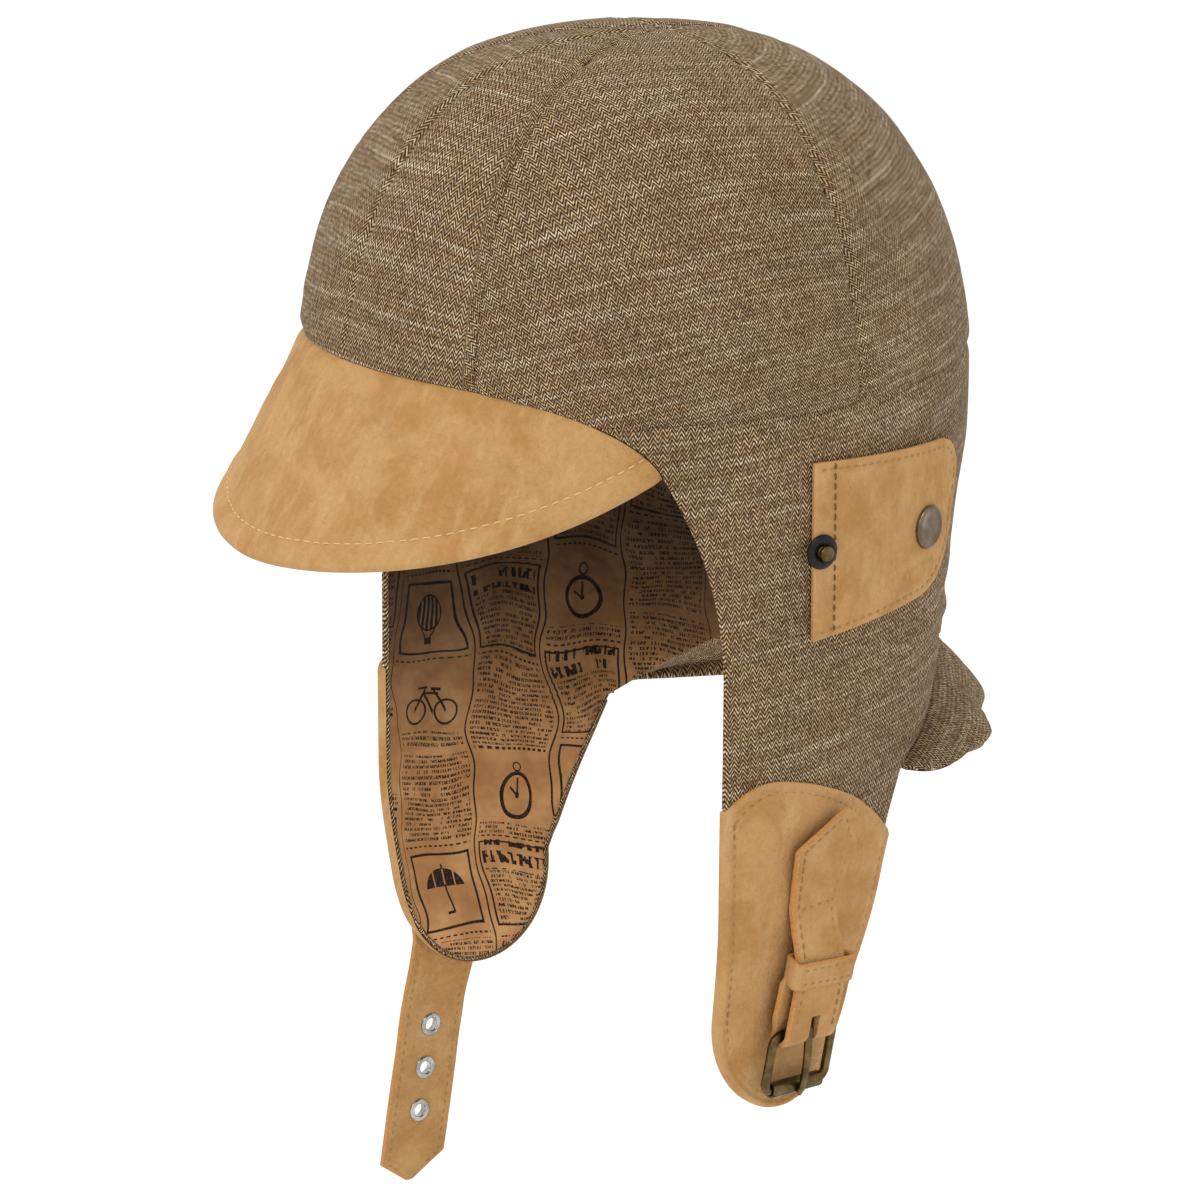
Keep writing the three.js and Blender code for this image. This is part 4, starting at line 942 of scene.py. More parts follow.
# Neck flap: gathered on its seam, flaring in soft folds to the hem
neckPiece = {
    "hem": -112.0, "flare": 19.5, "curl": 0.26, "flarePower": 0.7, "foldDepth": 2.4, "folds": 6,
    "endPower": 8, "endShare": 0.3, "thickness": 1.7, "columns": 230, "rows": 34,
}


def makeNeckFlap():
    s = neckPiece
    reach = 180 - form["neckFootAngle"]
    angle = form["neckFootAngle"] + 2 * reach * crowded(s["columns"], 1.4)
    sign = np.where(angle < 180, 1, -1)
    seamHeight = neckSeamHeight(angle, sign) + 1.0
    seam = wallPoint(angle, seamHeight, 0.5)
    out = unit(faceNormal(wallFace, angle, seamHeight) * [1, 1, 0])[:, None]
    side = np.abs(angle - 180) / reach
    fullness = np.sqrt(np.maximum(1 - side ** s["endPower"], 0))[:, None]
    hem = s["hem"] + form["neckTilt"] * (180 - angle) / reach
    rows = np.linspace(0, 1, s["rows"])
    down = mix(rows, ease(rows), 0.45)
    drop = (seamHeight - hem)[:, None] * mix(s["endShare"], 1, fullness)
    u = arc(angle)[:, None]
    turn = 2 * math.pi * s["folds"] * (angle - 180)[:, None] / (2 * reach)
    fold = s["foldDepth"] * np.cos(turn + 0.35 * softNoise(u / 30, 0 * u, 7))
    fold = fold * (1 + 0.3 * softNoise(u / 20, 0 * u, 9))
    gathers = 0.45 * np.sin(u * 1.15 + 2.2 * softNoise(u / 11, 0 * u, 11))
    gathers = gathers * np.exp(-down * 3.0) * np.minimum(down * 9, 1)
    curl = 1 - s["curl"] * ease((down - 0.62) / 0.38)
    swing = s["flare"] * np.sin(down * math.pi / 2) ** s["flarePower"] * curl
    flare = fullness * (swing + fold * down + gathers)
    flare = flare + 0.5 * puckers(u, down * 30, 18, 120) * down
    height = seamHeight[:, None] - drop * down
    level = np.broadcast_to(seam[:, None, :2], (*height.shape, 2))
    middle = np.concatenate([level, height[..., None]], -1) + out * flare[..., None]
    normal = gridNormals(middle)
    normal *= np.sign(np.sum(normal * out, -1, keepdims=True))
    normal = unit(mix(out, normal, ease(down * 4)[:, None]))
    edge = np.concatenate([middle[0], middle[:, -1], middle[-1][::-1]])
    free = nearest(middle, edge)
    top = lengths(middle, 1)
    roll = edgeFall(free, 0.85)
    press = dip(free - 6.5, 0.3, 0.9) + dip(top, 0.8, 1.6)
    outer = middle - normal * (roll + press)[..., None]
    inner = middle - normal * (s["thickness"] - roll + press * 0.3)[..., None]
    uv = np.stack([u * 1.05 + 0 * top, -top - 30 + 0.03 * u], -1).reshape(-1, 2)
    points, faces = shell(outer, inner)
    dress("cloth_neck_flap", points, faces, "herringbone", np.concatenate([uv, uv + [0.6, 0.3]]),
          nodes=["neck_flap"])


makeNeckFlap()
print("neck flap made")

# Rows of stitches: short arched capsules, sunk at both ends
stitching = {"length": 2.0, "space": 0.85, "radius": 0.24, "arch": 0.16, "sink": 0.2, "rings": 5, "sides": 6}


def addStitches(name, runs, finish=None, length=None, flipped=False):
    s = stitching
    length = length or s["length"]
    share = np.linspace(0, 1, s["rings"])
    bend = np.sin(share * math.pi)
    thick = (s["radius"] * np.array([0.5, 0.95, 1.0, 0.95, 0.5]))[None, :, None, None]
    turn = np.linspace(0, 2 * math.pi, s["sides"] + 1)[:-1, None]
    capsules = []
    for line, normals in runs:
        walked = walk(line)
        count = int((walked[-1] + s["space"]) // (length + s["space"]))
        start = np.arange(count) * (walked[-1] + s["space"]) / max(count, 1)
        where = start[:, None] + share * length
        at = np.stack([np.interp(where, walked, line[:, k]) for k in range(3)], -1)
        up = unit(np.stack([np.interp(where, walked, normals[:, k]) for k in range(3)], -1))
        at = at + up * (s["arch"] * bend - s["sink"] * (1 - bend))[None, :, None]
        run = unit(np.gradient(at, axis=1))
        side = unit(np.cross(run, up))[:, :, None]
        rings = at[:, :, None] + thick * (np.cos(turn) * side + np.sin(turn) * up[:, :, None])
        ends = np.stack([rings[:, 0].mean(1), rings[:, -1].mean(1)], 1)
        capsules.append(np.concatenate([rings.reshape(count, -1, 3), ends], 1))
    blocks = np.concatenate(capsules)
    one = tube(np.zeros((s["rings"], s["sides"], 3)))[1]
    step = (np.arange(len(blocks)) * blocks.shape[1])[:, None, None]
    faces = [(f[None] + step).reshape(-1, f.shape[1]) for f in one]
    return dress(name, blocks.reshape(-1, 3), faces, "suede", finish=finish or suedeThread, flipped=flipped)


def contour(surface, normal, distance, value):
    # the line on a surface where a distance has one value, found once for each column
    crossing = (distance[:, :-1] - value) * (distance[:, 1:] - value) <= 0
    i = np.nonzero(crossing.any(1))[0]
    j = crossing.argmax(1)[i]
    gap = distance[i, j] - distance[i, j + 1]
    share = ((distance[i, j] - value) / np.where(np.abs(gap) < 1e-9, 1e-9, gap))[:, None]
    return mix(surface[i, j], surface[i, j + 1], share), unit(mix(normal[i, j], normal[i, j + 1], share))


# Peak: two layers of suede over a stiffener, turned edge, one line of stitches well inside it
peakPiece = {
    "length": 61.5, "middleSlope": 57.0, "endSlope": 85.0, "outlinePower": 1.81, "outlineFall": 0.76,
    "thickness": 3.0, "line": 8.0, "stitch": 2.5, "columns": 210, "rows": 64, "swell": 0.45, "wave": 0.7,
}


def makePeak():
    s = peakPiece
    share = np.sin(np.linspace(-1, 1, s["columns"]) * math.pi / 2)
    angle = share * form["peakEnd"]
    seam = wallPoint(angle, peakSeamHeight(angle) + 0.1, form["cloth"] / 2)[:, None]
    slope = np.radians(mix(s["middleSlope"], s["endSlope"], share * share))[:, None, None]
    length = s["length"] * np.maximum(1 - np.abs(share) ** s["outlinePower"], 0) ** s["outlineFall"]
    length = np.maximum(length, 0.05)[:, None, None]
    level = unit(faceNormal(wallFace, angle, 0 * angle) * [1, 1, 0])[:, None]
    run = level * np.cos(slope) - np.array([0, 0, 1.0]) * np.sin(slope)
    normal = level * np.sin(slope) + np.array([0, 0, 1.0]) * np.cos(slope)
    out = (1 - (1 - np.linspace(0, 1, s["rows"])) ** 1.35)[None, :, None]
    middle = seam + run * length * out
    free = nearest(middle, middle[:, -1])
    top = nearest(middle, middle[:, 0])
    wide, deep = angle[:, None] * 1.6, np.broadcast_to(length[..., 0] * out[..., 0], free.shape)
    wave = s["wave"] * puckers(wide, deep, 26, 140) * ease(free / 12) * ease(top / 10)
    wave += 0.25 * softNoise(wide / 6, deep / 9, 151) * ease(free / 3) * ease(top / 3)
    band = s["swell"] * np.sin(np.clip(free / s["line"], 0, 1) * math.pi)
    offset = wave + band - dip(free - s["line"], 0.32, 0.75) - dip(top, 0.7, 1.8)
    roll = edgeFall(free, 1.5)
    outer = middle + normal * (offset - roll)[..., None]
    inner = middle - normal * (s["thickness"] - roll - wave)[..., None]
    points, faces = shell(outer, inner)
    dress("suede_peak", points, faces, "suede", nodes=["peak"])
    line, up = contour(outer, np.broadcast_to(normal, outer.shape), free, s["line"])
    addStitches("stitches_peak", [(line, up)], length=s["stitch"], finish=paleThread)


makePeak()
print("peak made")

# Suede patches over the flap tips
patchPiece = {
    "top": -93.4, "crest": 0.2, "frontDrop": 7.2, "frontPower": 2.0, "rearDrop": 28.0, "rearPower": 1.55,
    "columns": 84, "rows": 96, "line": 2.7, "turned": 3.6, "sunk": 0.45,
}


def patchPlace(side, across, down, inset):
    # the patch's outline drawn in by a distance: front and rear edges of the flap, an arch above
    s = patchPiece
    ahead = np.clip((s["crest"] - across) / s["crest"], 0, 1)
    behind = np.clip((across - s["crest"]) / (1 - s["crest"]), 0, 1)
    fall = s["frontDrop"] * ahead ** s["frontPower"] + s["rearDrop"] * behind ** s["rearPower"]
    top = s["top"] - fall - inset
    bottom = -form["flapLength"] + inset
    z = mix(top, bottom, down)
    step = degreeLength(form["flapFront"], z)
    middle = flapMiddle(side)
    tall = -s["top"] - form["flapLength"]
    stretched = -form["flapLength"] + (z - bottom) * tall / (tall + inset)
    front = np.minimum(sideFrontAngle(stretched, side) + inset / step, middle)
    rear = np.maximum(flapRearAngle(stretched, side) - inset / step, middle)
    return mix(front, rear, across), z


def makePatch(side):
    s = patchPiece
    face = form["patchGap"] + form["suede"] - s["sunk"]
    across = crowded(s["columns"], 1.6)[:, None]
    down = np.sin(np.linspace(0, 1, s["rows"]) * math.pi / 2)[None]
    angle, z = patchPlace(side, across, down, -0.35)
    base = wallFace(angle, z)
    top = nearest(base, base[:, 0])
    free = nearest(base, np.concatenate([base[0], base[-1][::-1]]))
    u, v = arc(angle), z
    near = np.minimum(top, free)
    offset = 0.45 * puckers(u, v, 20, 170 + side) * ease(near / 8)
    offset += 0.3 * np.exp(-(((near - 1.2) / 1.3) ** 2))
    offset -= dip(near - s["line"], 0.4, 0.7)
    front = nearest(base, base[0])
    offset -= dip(front - s["turned"] - 1.2, 0.22, 0.6) * ease(top / 6)
    cut = edgeFall(top, 0.6)
    wrap = edgeFall(free, 2.0)
    outer = wallPoint(angle, z, -face - offset + cut + wrap)
    inner = wallPoint(angle, z, -form["patchGap"] + 0.2 + 2.4 * np.exp(-((free / 0.7) ** 2)))
    points, faces = shell(outer, inner)
    name = sideNames[side]
    dress(f"suede_patch_{name}", points, faces, "suede", nodes=[f"flap_patch_{name}"], flipped=side < 0)
    lineAcross = np.linspace(0, 1, 160)
    lineDown = np.sin(lineAcross * math.pi / 2)
    runs = []
    for a, d in ((lineAcross, 0 * lineAcross), (0 * lineDown, lineDown), (0 * lineDown + 1, lineDown)):
        angle, z = patchPlace(side, a, d, s["line"])
        runs.append((wallPoint(angle, z, -face + 0.3), faceNormal(wallFace, angle, z)))
    addStitches(f"stitches_patch_{name}", runs, flipped=side < 0)


for side in (1, -1):
    makePatch(side)
print("flap patches made")

# Snap tabs: sewn down in front, rounded behind
tabPiece = {
    "front": 88.7, "rear": 125.0, "top": -1.0, "bottom": -53.0, "topDrop": 4.0, "bottomRise": 7.0,
    "topRadius": 10.0, "bottomRadius": 20.0, "rearLean": 3.0, "lift": 1.2, "seam": 7.0, "line": 2.2,
    "seamTop": -1.8, "seamBottom": -51.0,
    "studAngle": 90.0, "studHeight": -26.7, "capAngle": 114.4, "capHeight": -28.2,
}


def tabStand(angle):
    s = tabPiece
    return form["gap"] + s["lift"] * ease((angle - s["front"]) / (s["rear"] - s["front"]))


def tabFace(angle, z):
    return wallPoint(angle, z, -tabStand(angle) - form["suede"])


def tabPlace(back, down, inset=0.0):
    # straight front edge, rounded rear corners: a quarter circle is taken off above and below
    s = tabPiece
    step = degreeLength(s["capAngle"], s["capHeight"])
    length = (s["rear"] - s["front"]) * step
    fromEnd = (1 - back) * length
    top = s["top"] - s["topDrop"] * back - edgeFall(fromEnd, s["topRadius"] - inset * 0.6)
    bottom = s["bottom"] + s["bottomRise"] * back + edgeFall(fromEnd, s["bottomRadius"] - inset * 0.6)
    rear = s["rear"] - (inset + s["rearLean"] * down * down) / step
    return mix(s["front"] + inset / step, rear, back), mix(top - inset, bottom + inset, down)


def onFace(face, angle, z):
    # axes that stand on a surface: two along it and one out
    angle, z = np.array(angle), np.array(z)
    out = faceNormal(face, angle, z)
    across = unit(np.cross([0, 0, 1.0], out))
    return face(angle, z), across, np.cross(out, across), out


def lathe(profile, place, sides=40, closedPath=False):
    # a profile of radius and height pairs, turned round the axis that points out
    origin, across, up, out = place
    radius, height = np.array(profile, float).T[:, :, None, None]
    turn = np.linspace(0, 2 * math.pi, sides + 1)[:-1, None]
    rings = origin + radius * (np.cos(turn) * across + np.sin(turn) * up) + height * out
    return tube(rings, closedPath)


washerProfile = [
    (2.25, 0), (5.0, 0), (5.05, 0.3), (4.9, 0.75), (4.4, 1.12), (3.6, 1.3), (2.9, 1.26), (2.45, 1.05),
    (2.25, 0.7),
]
studProfile = [
    (2.1, 0), (2.1, 1.1), (1.75, 1.4), (1.75, 1.7), (2.15, 2.1), (2.3, 2.6), (2.1, 3.2), (1.6, 3.55),
    (0.9, 3.72), (0.3, 3.74),
]
capProfile = [
    (6.0, 0), (6.25, 0.15), (6.3, 0.6), (6.15, 1.05), (5.8, 1.36), (5.4, 1.4), (5.15, 1.25), (4.9, 1.12),
    (3.0, 1.16), (0.4, 1.2),
]


def sunkLine(angle, z):
    # a line of stitches 0.2 under the tab's face, and its normals
    normals = faceNormal(tabFace, angle, z)
    return tabFace(angle, z) - 0.2 * normals, normals


def makeTab(side):
    s = tabPiece
    back = np.sin(np.linspace(0, 1, 74) * math.pi / 2)[:, None]
    down = crowded(60, 1.7)[None]
    angle, z = tabPlace(back, down)
    base = tabFace(angle, z)
    edge = nearest(base, outline(base))
    front = nearest(base, base[0])
    offset = 0.25 * puckers(arc(angle), z, 15, 190 + side) * ease(edge / 6)
    offset -= dip(front - s["seam"], 0.45, 0.8) + dip(edge - s["line"], 0.25, 0.6)
    cut = edgeFall(edge, 0.5)
    stand = tabStand(angle)
    outer = wallPoint(angle, z, -stand - form["suede"] - offset + cut)
    inner = wallPoint(angle, z, -stand - cut * 0.6)
    points, faces = shell(outer, inner)
    name, flipped = sideNames[side], side < 0
    dress(f"suede_tab_{name}", points, faces, "suede", nodes=[f"tab_{name}"],
          finish=[finishes["suede"], cutSuede], flipped=flipped)
    line = np.linspace(0, 1, 120)
    bent = np.sin(line * math.pi / 2)
    sewn = [tabPlace(bent, 0 * line, s["line"]), tabPlace(bent, 0 * line + 1, s["line"]),
            tabPlace(0 * line + 1, line, s["line"])]
    addStitches(f"stitches_tab_{name}", [sunkLine(*place) for place in sewn], flipped=flipped)
    seamAngle = tabPlace(0 * line, line)[0] + s["seam"] / degreeLength(s["capAngle"], s["capHeight"])
    seam = sunkLine(seamAngle, mix(s["seamTop"], s["seamBottom"], line))
    addStitches(f"stitches_tab_seam_{name}", [seam], finish=darkThread, flipped=flipped)
    stud = onFace(tabFace, s["studAngle"], s["studHeight"])
    cap = onFace(tabFace, s["capAngle"], s["capHeight"])
    for label, profile, place, slot, loop in (
            ("washer", washerProfile, stud, "black_metal", True),
            ("stud", studProfile, stud, "antique_brass", False),
            ("cap", capProfile, cap, "bronze", False)):
        points, faces = lathe(profile, place, 48, loop)
        dress(f"snap_{label}_{name}", points, faces, slot, nodes=[f"tab_{label}_{name}"], flipped=flipped)


for side in (1, -1):
    makeTab(side)
print("snap tabs made")

# Chin strap with the buckle, in a flat set of axes on the left flap: along goes down, across to the rear
strap = {
    "thickness": 1.9, "width": 25.0, "endWidth": 21.0, "top": -104.0, "angle": 89.5, "slant": 4.0,
    "point": 11.0, "crossStitch": -132.0, "line": 2.4,
    "keeper": -150.5, "keeperLength": 8.0, "keeperThick": 1.5, "keeperCorner": 1.4, "keeperShift": -1.1,
    "centre": -179.5, "length": 20.0, "sideClear": 0.5, "wire": 2.6, "corner": 3.2,
    "roller": 2.3, "rollerEnd": 0.4, "rollerSlit": 64.0,
    "prongWidth": 2.7, "prongThick": 1.3, "prongRows": 40, "slotClear": 0.8, "slotLength": 8.0,
    "backPast": 10.0, "backRise": 1.8, "backLength": 10.0, "frontRows": 79, "backRows": 26,
}
patchFace = form["patchGap"] + form["suede"]
barRadius = strap["wire"] / 2
topBar = -(strap["length"] / 2 - barRadius)
wrapRadius = barRadius + form["gap"] + strap["thickness"] / 2
barOut = patchFace + form["gap"] + strap["thickness"] / 2 + wrapRadius
buckleWidth = strap["endWidth"] + 2 * (strap["sideClear"] + strap["wire"])

flapOrigin = wallFace(strap["angle"], strap["centre"])
flapOut = faceNormal(wallFace, np.array(strap["angle"]), np.array(strap["centre"]))
level = unit(np.array([-flapOut[1], flapOut[0], 0.0]))
slant = math.radians(-strap["slant"])
flapAcross = level * math.cos(slant) + np.cross(flapOut, level) * math.sin(slant)
flapAlong = unit(np.cross(flapAcross, flapOut))


def flapPlace(a, c, o):
    a, c, o = (np.asarray(x, float)[..., None] for x in (a, c, o))
    return flapOrigin + flapAlong * a + flapAcross * c + flapOut * o


def downTo(height):
    return (height - strap["centre"]) / flapAlong[2]


def faceRise(a):
    # the wall's height over the flat axes, found by walking to the spot in a few steps
    angle, z = np.full_like(a, strap["angle"]), strap["centre"] + a * flapAlong[2]
    for _ in range(4):
        offset = wallFace(angle, z) - flapOrigin
        nextAngle = angle - offset @ flapAcross / degreeLength(angle, z)
        angle, z = nextAngle, z + (a - offset @ flapAlong) * flapAlong[2]
    return (wallFace(angle, z) - flapOrigin) @ flapOut


def strapLine():
    # down the flap, round the bar in a half circle and up again behind
    s = strap
    lying = patchFace + form["gap"] + s["thickness"] / 2
    top, stitch, keeper = downTo(s["top"]), downTo(s["crossStitch"]), downTo(s["keeper"])
    raised = barOut + wrapRadius
    sewn = np.linspace(top, stitch, 36)
    loose = np.linspace(stitch, topBar, s["frontRows"] - 35)[1:]
    turn = np.linspace(0, math.pi, 20)[1:-1]
    behind = np.linspace(topBar, keeper - s["backPast"], s["backRows"])
    sewnRise, looseRise, behindRise = (np.maximum(faceRise(a), 0) for a in (sewn, loose, behind))
    looseOut = looseRise + mix(lying, raised, ease((loose - stitch) / (keeper - stitch)))
    behindOut = behindRise + lying + s["backRise"] * ease((topBar - behind) / s["backLength"])
    lineA = np.concatenate([sewn, loose, topBar + wrapRadius * np.sin(turn), behind])
    lineO = np.concatenate([sewnRise + lying, looseOut, barOut + wrapRadius * np.cos(turn), behindOut])
    return lineA, lineO


def strapEdges(a, back=False):
    # front and rear edge of the strap: a pointed top, a waist above the keeper, full width at the buckle
    s = strap
    top, stitch, keeper = downTo(s["top"]), downTo(s["crossStitch"]), downTo(s["keeper"])
    stops = [top, top + s["point"], stitch - 4, stitch + 4, keeper, keeper + 7, topBar + 20]
    front = np.interp(a, stops, [3.8, -13.3, -12.4, -11.9, -11.2, -10.6, -10.5])
    rear = np.interp(a, stops, [5.0, 10.2, 6.6, 5.9, 7.2, 10.0, 10.5])
    if back:
        past, above = ease((topBar - a) / 7), ease((keeper + 4 - a) / 5)
        front, rear = mix(mix(front, -13.4, past), -8.5, above), mix(rear, 7.0, past)
    return front, rear


def flatSection(radius, flats=12, turns=5):
    # a rounded rectangle as shares: across share, across extra, out share, out extra
    corner = np.linspace(0, math.pi / 2, turns)
    c = np.concatenate([np.full(turns, 1.0), np.linspace(1, -1, flats)[1:-1], np.full(turns, -1.0)])
    c = np.concatenate([c, -c])
    flat = np.zeros(flats - 2)
    cx = np.concatenate([np.cos(corner), flat, -np.sin(corner)])
    o = np.ones(2 * turns + flats - 2)
    ox = np.concatenate([np.sin(corner), flat + 1, np.cos(corner)])
    cx = radius * np.concatenate([cx, -np.cos(corner), flat, np.sin(corner)])
    return c, cx, np.concatenate([o, -o]), radius * np.concatenate([ox, -ox])


def flatBand(half, thick, radius):
    # across and out offsets of a band's section for every step of its path
    c, cx, o, ox = flatSection(radius)
    width = np.maximum(half - radius, 0.05)[:, None] * c + cx
    return width, np.broadcast_to(o * (thick / 2 - radius) + ox, width.shape)


def markEdges(piece, steps, flats=12, turns=5):
    # the section's two rounded edges take the cut colour
    lone = 2 * turns + flats - 2
    index = np.zeros(len(piece.data.polygons), np.int32)
    cut = (np.arange(steps * 2 * lone) + turns) % lone < 2 * turns - 1
    index[:len(cut)] = cut
    piece.data.materials.append(cutSuede)
    piece.data.polygons.foreach_set("material_index", index)


def roundedLoop(halfA, halfB, radius, turns, alongA, alongB):
    # a rounded rectangle as a closed line: quarter circles, and points between them in both directions
    turn = np.linspace(0, math.pi / 2, turns)
    cos, sin = radius * np.cos(turn), radius * np.sin(turn)
    a, b = halfA - radius, halfB - radius
    lineA = np.linspace(a, -a, alongA + 2)[1:-1]
    lineB = np.linspace(b, -b, alongB + 2)[1:-1]
    endA, endB = halfA + 0 * lineB, halfB + 0 * lineA
    return (np.concatenate([a + cos, lineA, -a - sin, -endA, -a - cos, -lineA, a + sin, endA]),
            np.concatenate([b + sin, endB, b + cos, lineB, -b - sin, -endB, -b - cos, -lineB]))


def carve(piece, cutters):
    # takes solids out of a piece, for good
    for points, faces in cutters:
        tool = putMesh("cutter", points, faces)
        change = piece.modifiers.new("cut", "BOOLEAN")
        change.object = tool
        change.solver = "EXACT"
        bpy.context.view_layer.update()
        evaluated = piece.evaluated_get(bpy.context.evaluated_depsgraph_get())
        made = bpy.data.meshes.new_from_object(evaluated)
        piece.modifiers.clear()
        piece.data = made
        bpy.data.objects.remove(tool)
    smooth(piece.data)


def blockAt(place, low, high):
    x, y, z = (np.array([a, b]) for a, b in zip(low, high))
    corners = place(*[g.ravel() for g in np.meshgrid(x, y, z, indexing="ij")])
    faces = np.array([[0, 1, 3, 2], [4, 6, 7, 5], [0, 4, 5, 1], [2, 3, 7, 6], [0, 2, 6, 4], [1, 5, 7, 3]])
    return corners, [faces]


def makeBuckleStrap():
    s = strap
    a, o = strapLine()
    behind = np.arange(len(a)) >= len(a) - s["backRows"]
    front, rear = (np.where(behind, b, f) for f, b in zip(strapEdges(a), strapEdges(a, True)))
    run = directions(a, o)
    width, height = flatBand((rear - front) / 2, s["thickness"], 0.55)
    middle = ((rear + front) / 2)[:, None]
    rough = 0.16 * softNoise(a / 7, o, 201)[:, None]
    sway = 0.5 * (width / 11) * softNoise(a / 11, 0 * a, 203)[:, None]
    out = o[:, None] + run[:, :1] * height + rough + sway
    points, faces = tube(flapPlace(a[:, None] - run[:, 1:] * height, middle + width, out))
    piece = dress("suede_buckle_strap", points, faces, "suede", nodes=["buckle_strap"])
    markEdges(piece, len(a) - 1)
    slotHalf = s["prongWidth"] / 2 + s["slotClear"] * 0.5
    carve(piece, [blockAt(flapPlace, (topBar - s["slotLength"] * 0.75, -slotHalf, patchFace),
                          (topBar + s["length"], slotHalf, barOut + s["length"]))])
    # stitches along both edges above and below the keeper, and one row across
    a, o, slope = (x[:s["frontRows"]] for x in (a, o, run[:, 1]))
    keeper, clear = downTo(s["keeper"]), s["keeperLength"] / 2 + 0.6
    runs = []
    for first, last in ((downTo(s["top"]) + 2.6, keeper - clear), (keeper + clear, topBar - 1.5)):
        picked = np.linspace(first, last, 90)
        out = np.interp(picked, a, o)
        normal = unit(flapOut - flapAlong * np.interp(picked, a, slope)[:, None])
        edges = strapEdges(picked)
        for edge, inward in zip(edges, (1, -1)):
            c = edge + inward * np.minimum(s["line"], (edges[1] - edges[0]) * 0.35)
            runs.append((flapPlace(picked, c, out) + normal * (s["thickness"] / 2 - 0.02), normal))
    stitch = downTo(s["crossStitch"])
    front, rear = strapEdges(np.array([stitch]))
    c = np.linspace(front[0] + s["line"] + 1, rear[0] - s["line"] - 0.6, 40)
    out = np.interp(stitch, a, o) + s["thickness"] / 2
    runs.append((flapPlace(stitch - 0.08 * c, c, out + 0 * c), np.broadcast_to(flapOut, (len(c), 3))))
    addStitches("stitches_buckle_strap", runs)


def makeKeeper():
    # a band carried round a rounded rectangle in the plane across the strap
    s = strap
    middle = downTo(s["keeper"])
    a, o = (x[:s["frontRows"]] for x in strapLine())
    low = faceRise(np.array([middle]))[0] + patchFace + form["gap"] + s["keeperThick"] / 2
    under = o[np.abs(a - middle) < s["keeperLength"]].max() + s["thickness"] / 2
    high = under + s["keeperThick"] / 2 + 0.12
    half = s["width"] / 2 - 1.7 + s["keeperThick"] / 2
    wide, tall = roundedLoop(half, (high - low) / 2, s["keeperCorner"], 8, 24, 0)
    out = (high + low) / 2 + tall
    # narrower below, bulging above
    wide = wide * (1 - 0.2 * ease((high - 1 - out) / (high - low - 1)))
    out = out + 0.35 * np.where(tall > 0, 1 - (wide / half) ** 2, 0)
    across = wide + s["keeperShift"]
    run = directions(across, out, closed=True)
    width, height = flatBand(np.full(len(across), s["keeperLength"] / 2), s["keeperThick"], 0.5)
    skew = 0.35 * np.sin(across / half * 2.0)[:, None]
    rings = flapPlace(middle + width + skew, across[:, None] + run[:, 1:] * height,
                      out[:, None] - run[:, :1] * height)
    points, faces = tube(rings, True)
    piece = dress("suede_keeper", points, faces, "suede", nodes=["keeper"])
    markEdges(piece, len(across))
    c = np.linspace(-half + s["keeperCorner"], half - s["keeperCorner"], 60)
    out = high + s["keeperThick"] / 2 + 0.33 * (1 - (c / half) ** 2) - 0.05
    skew = 0.35 * np.sin(c / half * 2.0)
    normals = np.broadcast_to(flapOut, (len(c), 3))
    addStitches("stitches_keeper", [
        (flapPlace(middle + row + skew, c + s["keeperShift"], out), normals) for row in (-2.2, 2.2)
    ])


def makeBuckleFrame():
    # a round wire carried along a rounded rectangle, a little flat in its section
    s = strap
    halfLength, halfWidth = (s["length"] - s["wire"]) / 2, (buckleWidth - s["wire"]) / 2
    a, c = roundedLoop(halfLength, halfWidth, s["corner"] - barRadius + 0.9, 9, 12, 16)
    run = directions(a, c, closed=True)
    turn = np.linspace(0, 2 * math.pi, 19)[:-1]
    wide = barRadius * np.cos(turn)
    high = barRadius * np.sign(np.sin(turn)) * np.abs(np.sin(turn)) ** 0.8
    out = barOut + 0 * a[:, None] + high
    points, faces = tube(flapPlace(a[:, None] + run[:, 1:] * wide, c[:, None] - run[:, :1] * wide, out), True)
    dress("buckle_wire", points, faces, "antique_brass", body="buckle", nodes=["buckle_frame"])


def makeRoller():
    # a rolled sheet whose edges leave a slit along the front
    s = strap
    reach = buckleWidth / 2 - s["corner"] - s["rollerEnd"]
    turn = (math.radians(s["rollerSlit"]) + np.linspace(0.07, 2 * math.pi - 0.07, 44))[:, None]
    slide = np.concatenate([[-1, -0.985], np.linspace(-0.95, 0.95, 14), [0.985, 1]])[None] * reach
    chamfer = np.where(np.abs(slide) > reach * 0.99, 0.22, 0)
    faces = []
    for radius in (s["roller"] - chamfer, barRadius + form["gap"] + 0.05):
        a, o = radius * np.cos(turn) + 0 * slide, radius * np.sin(turn) + 0 * slide
        faces.append(flapPlace(a - topBar, slide + 0 * turn, o + barOut))
    points, faces = shell(*faces)
    dress("buckle_roller_tube", points, faces, "antique_brass", body="roller", nodes=["buckle_roller"])


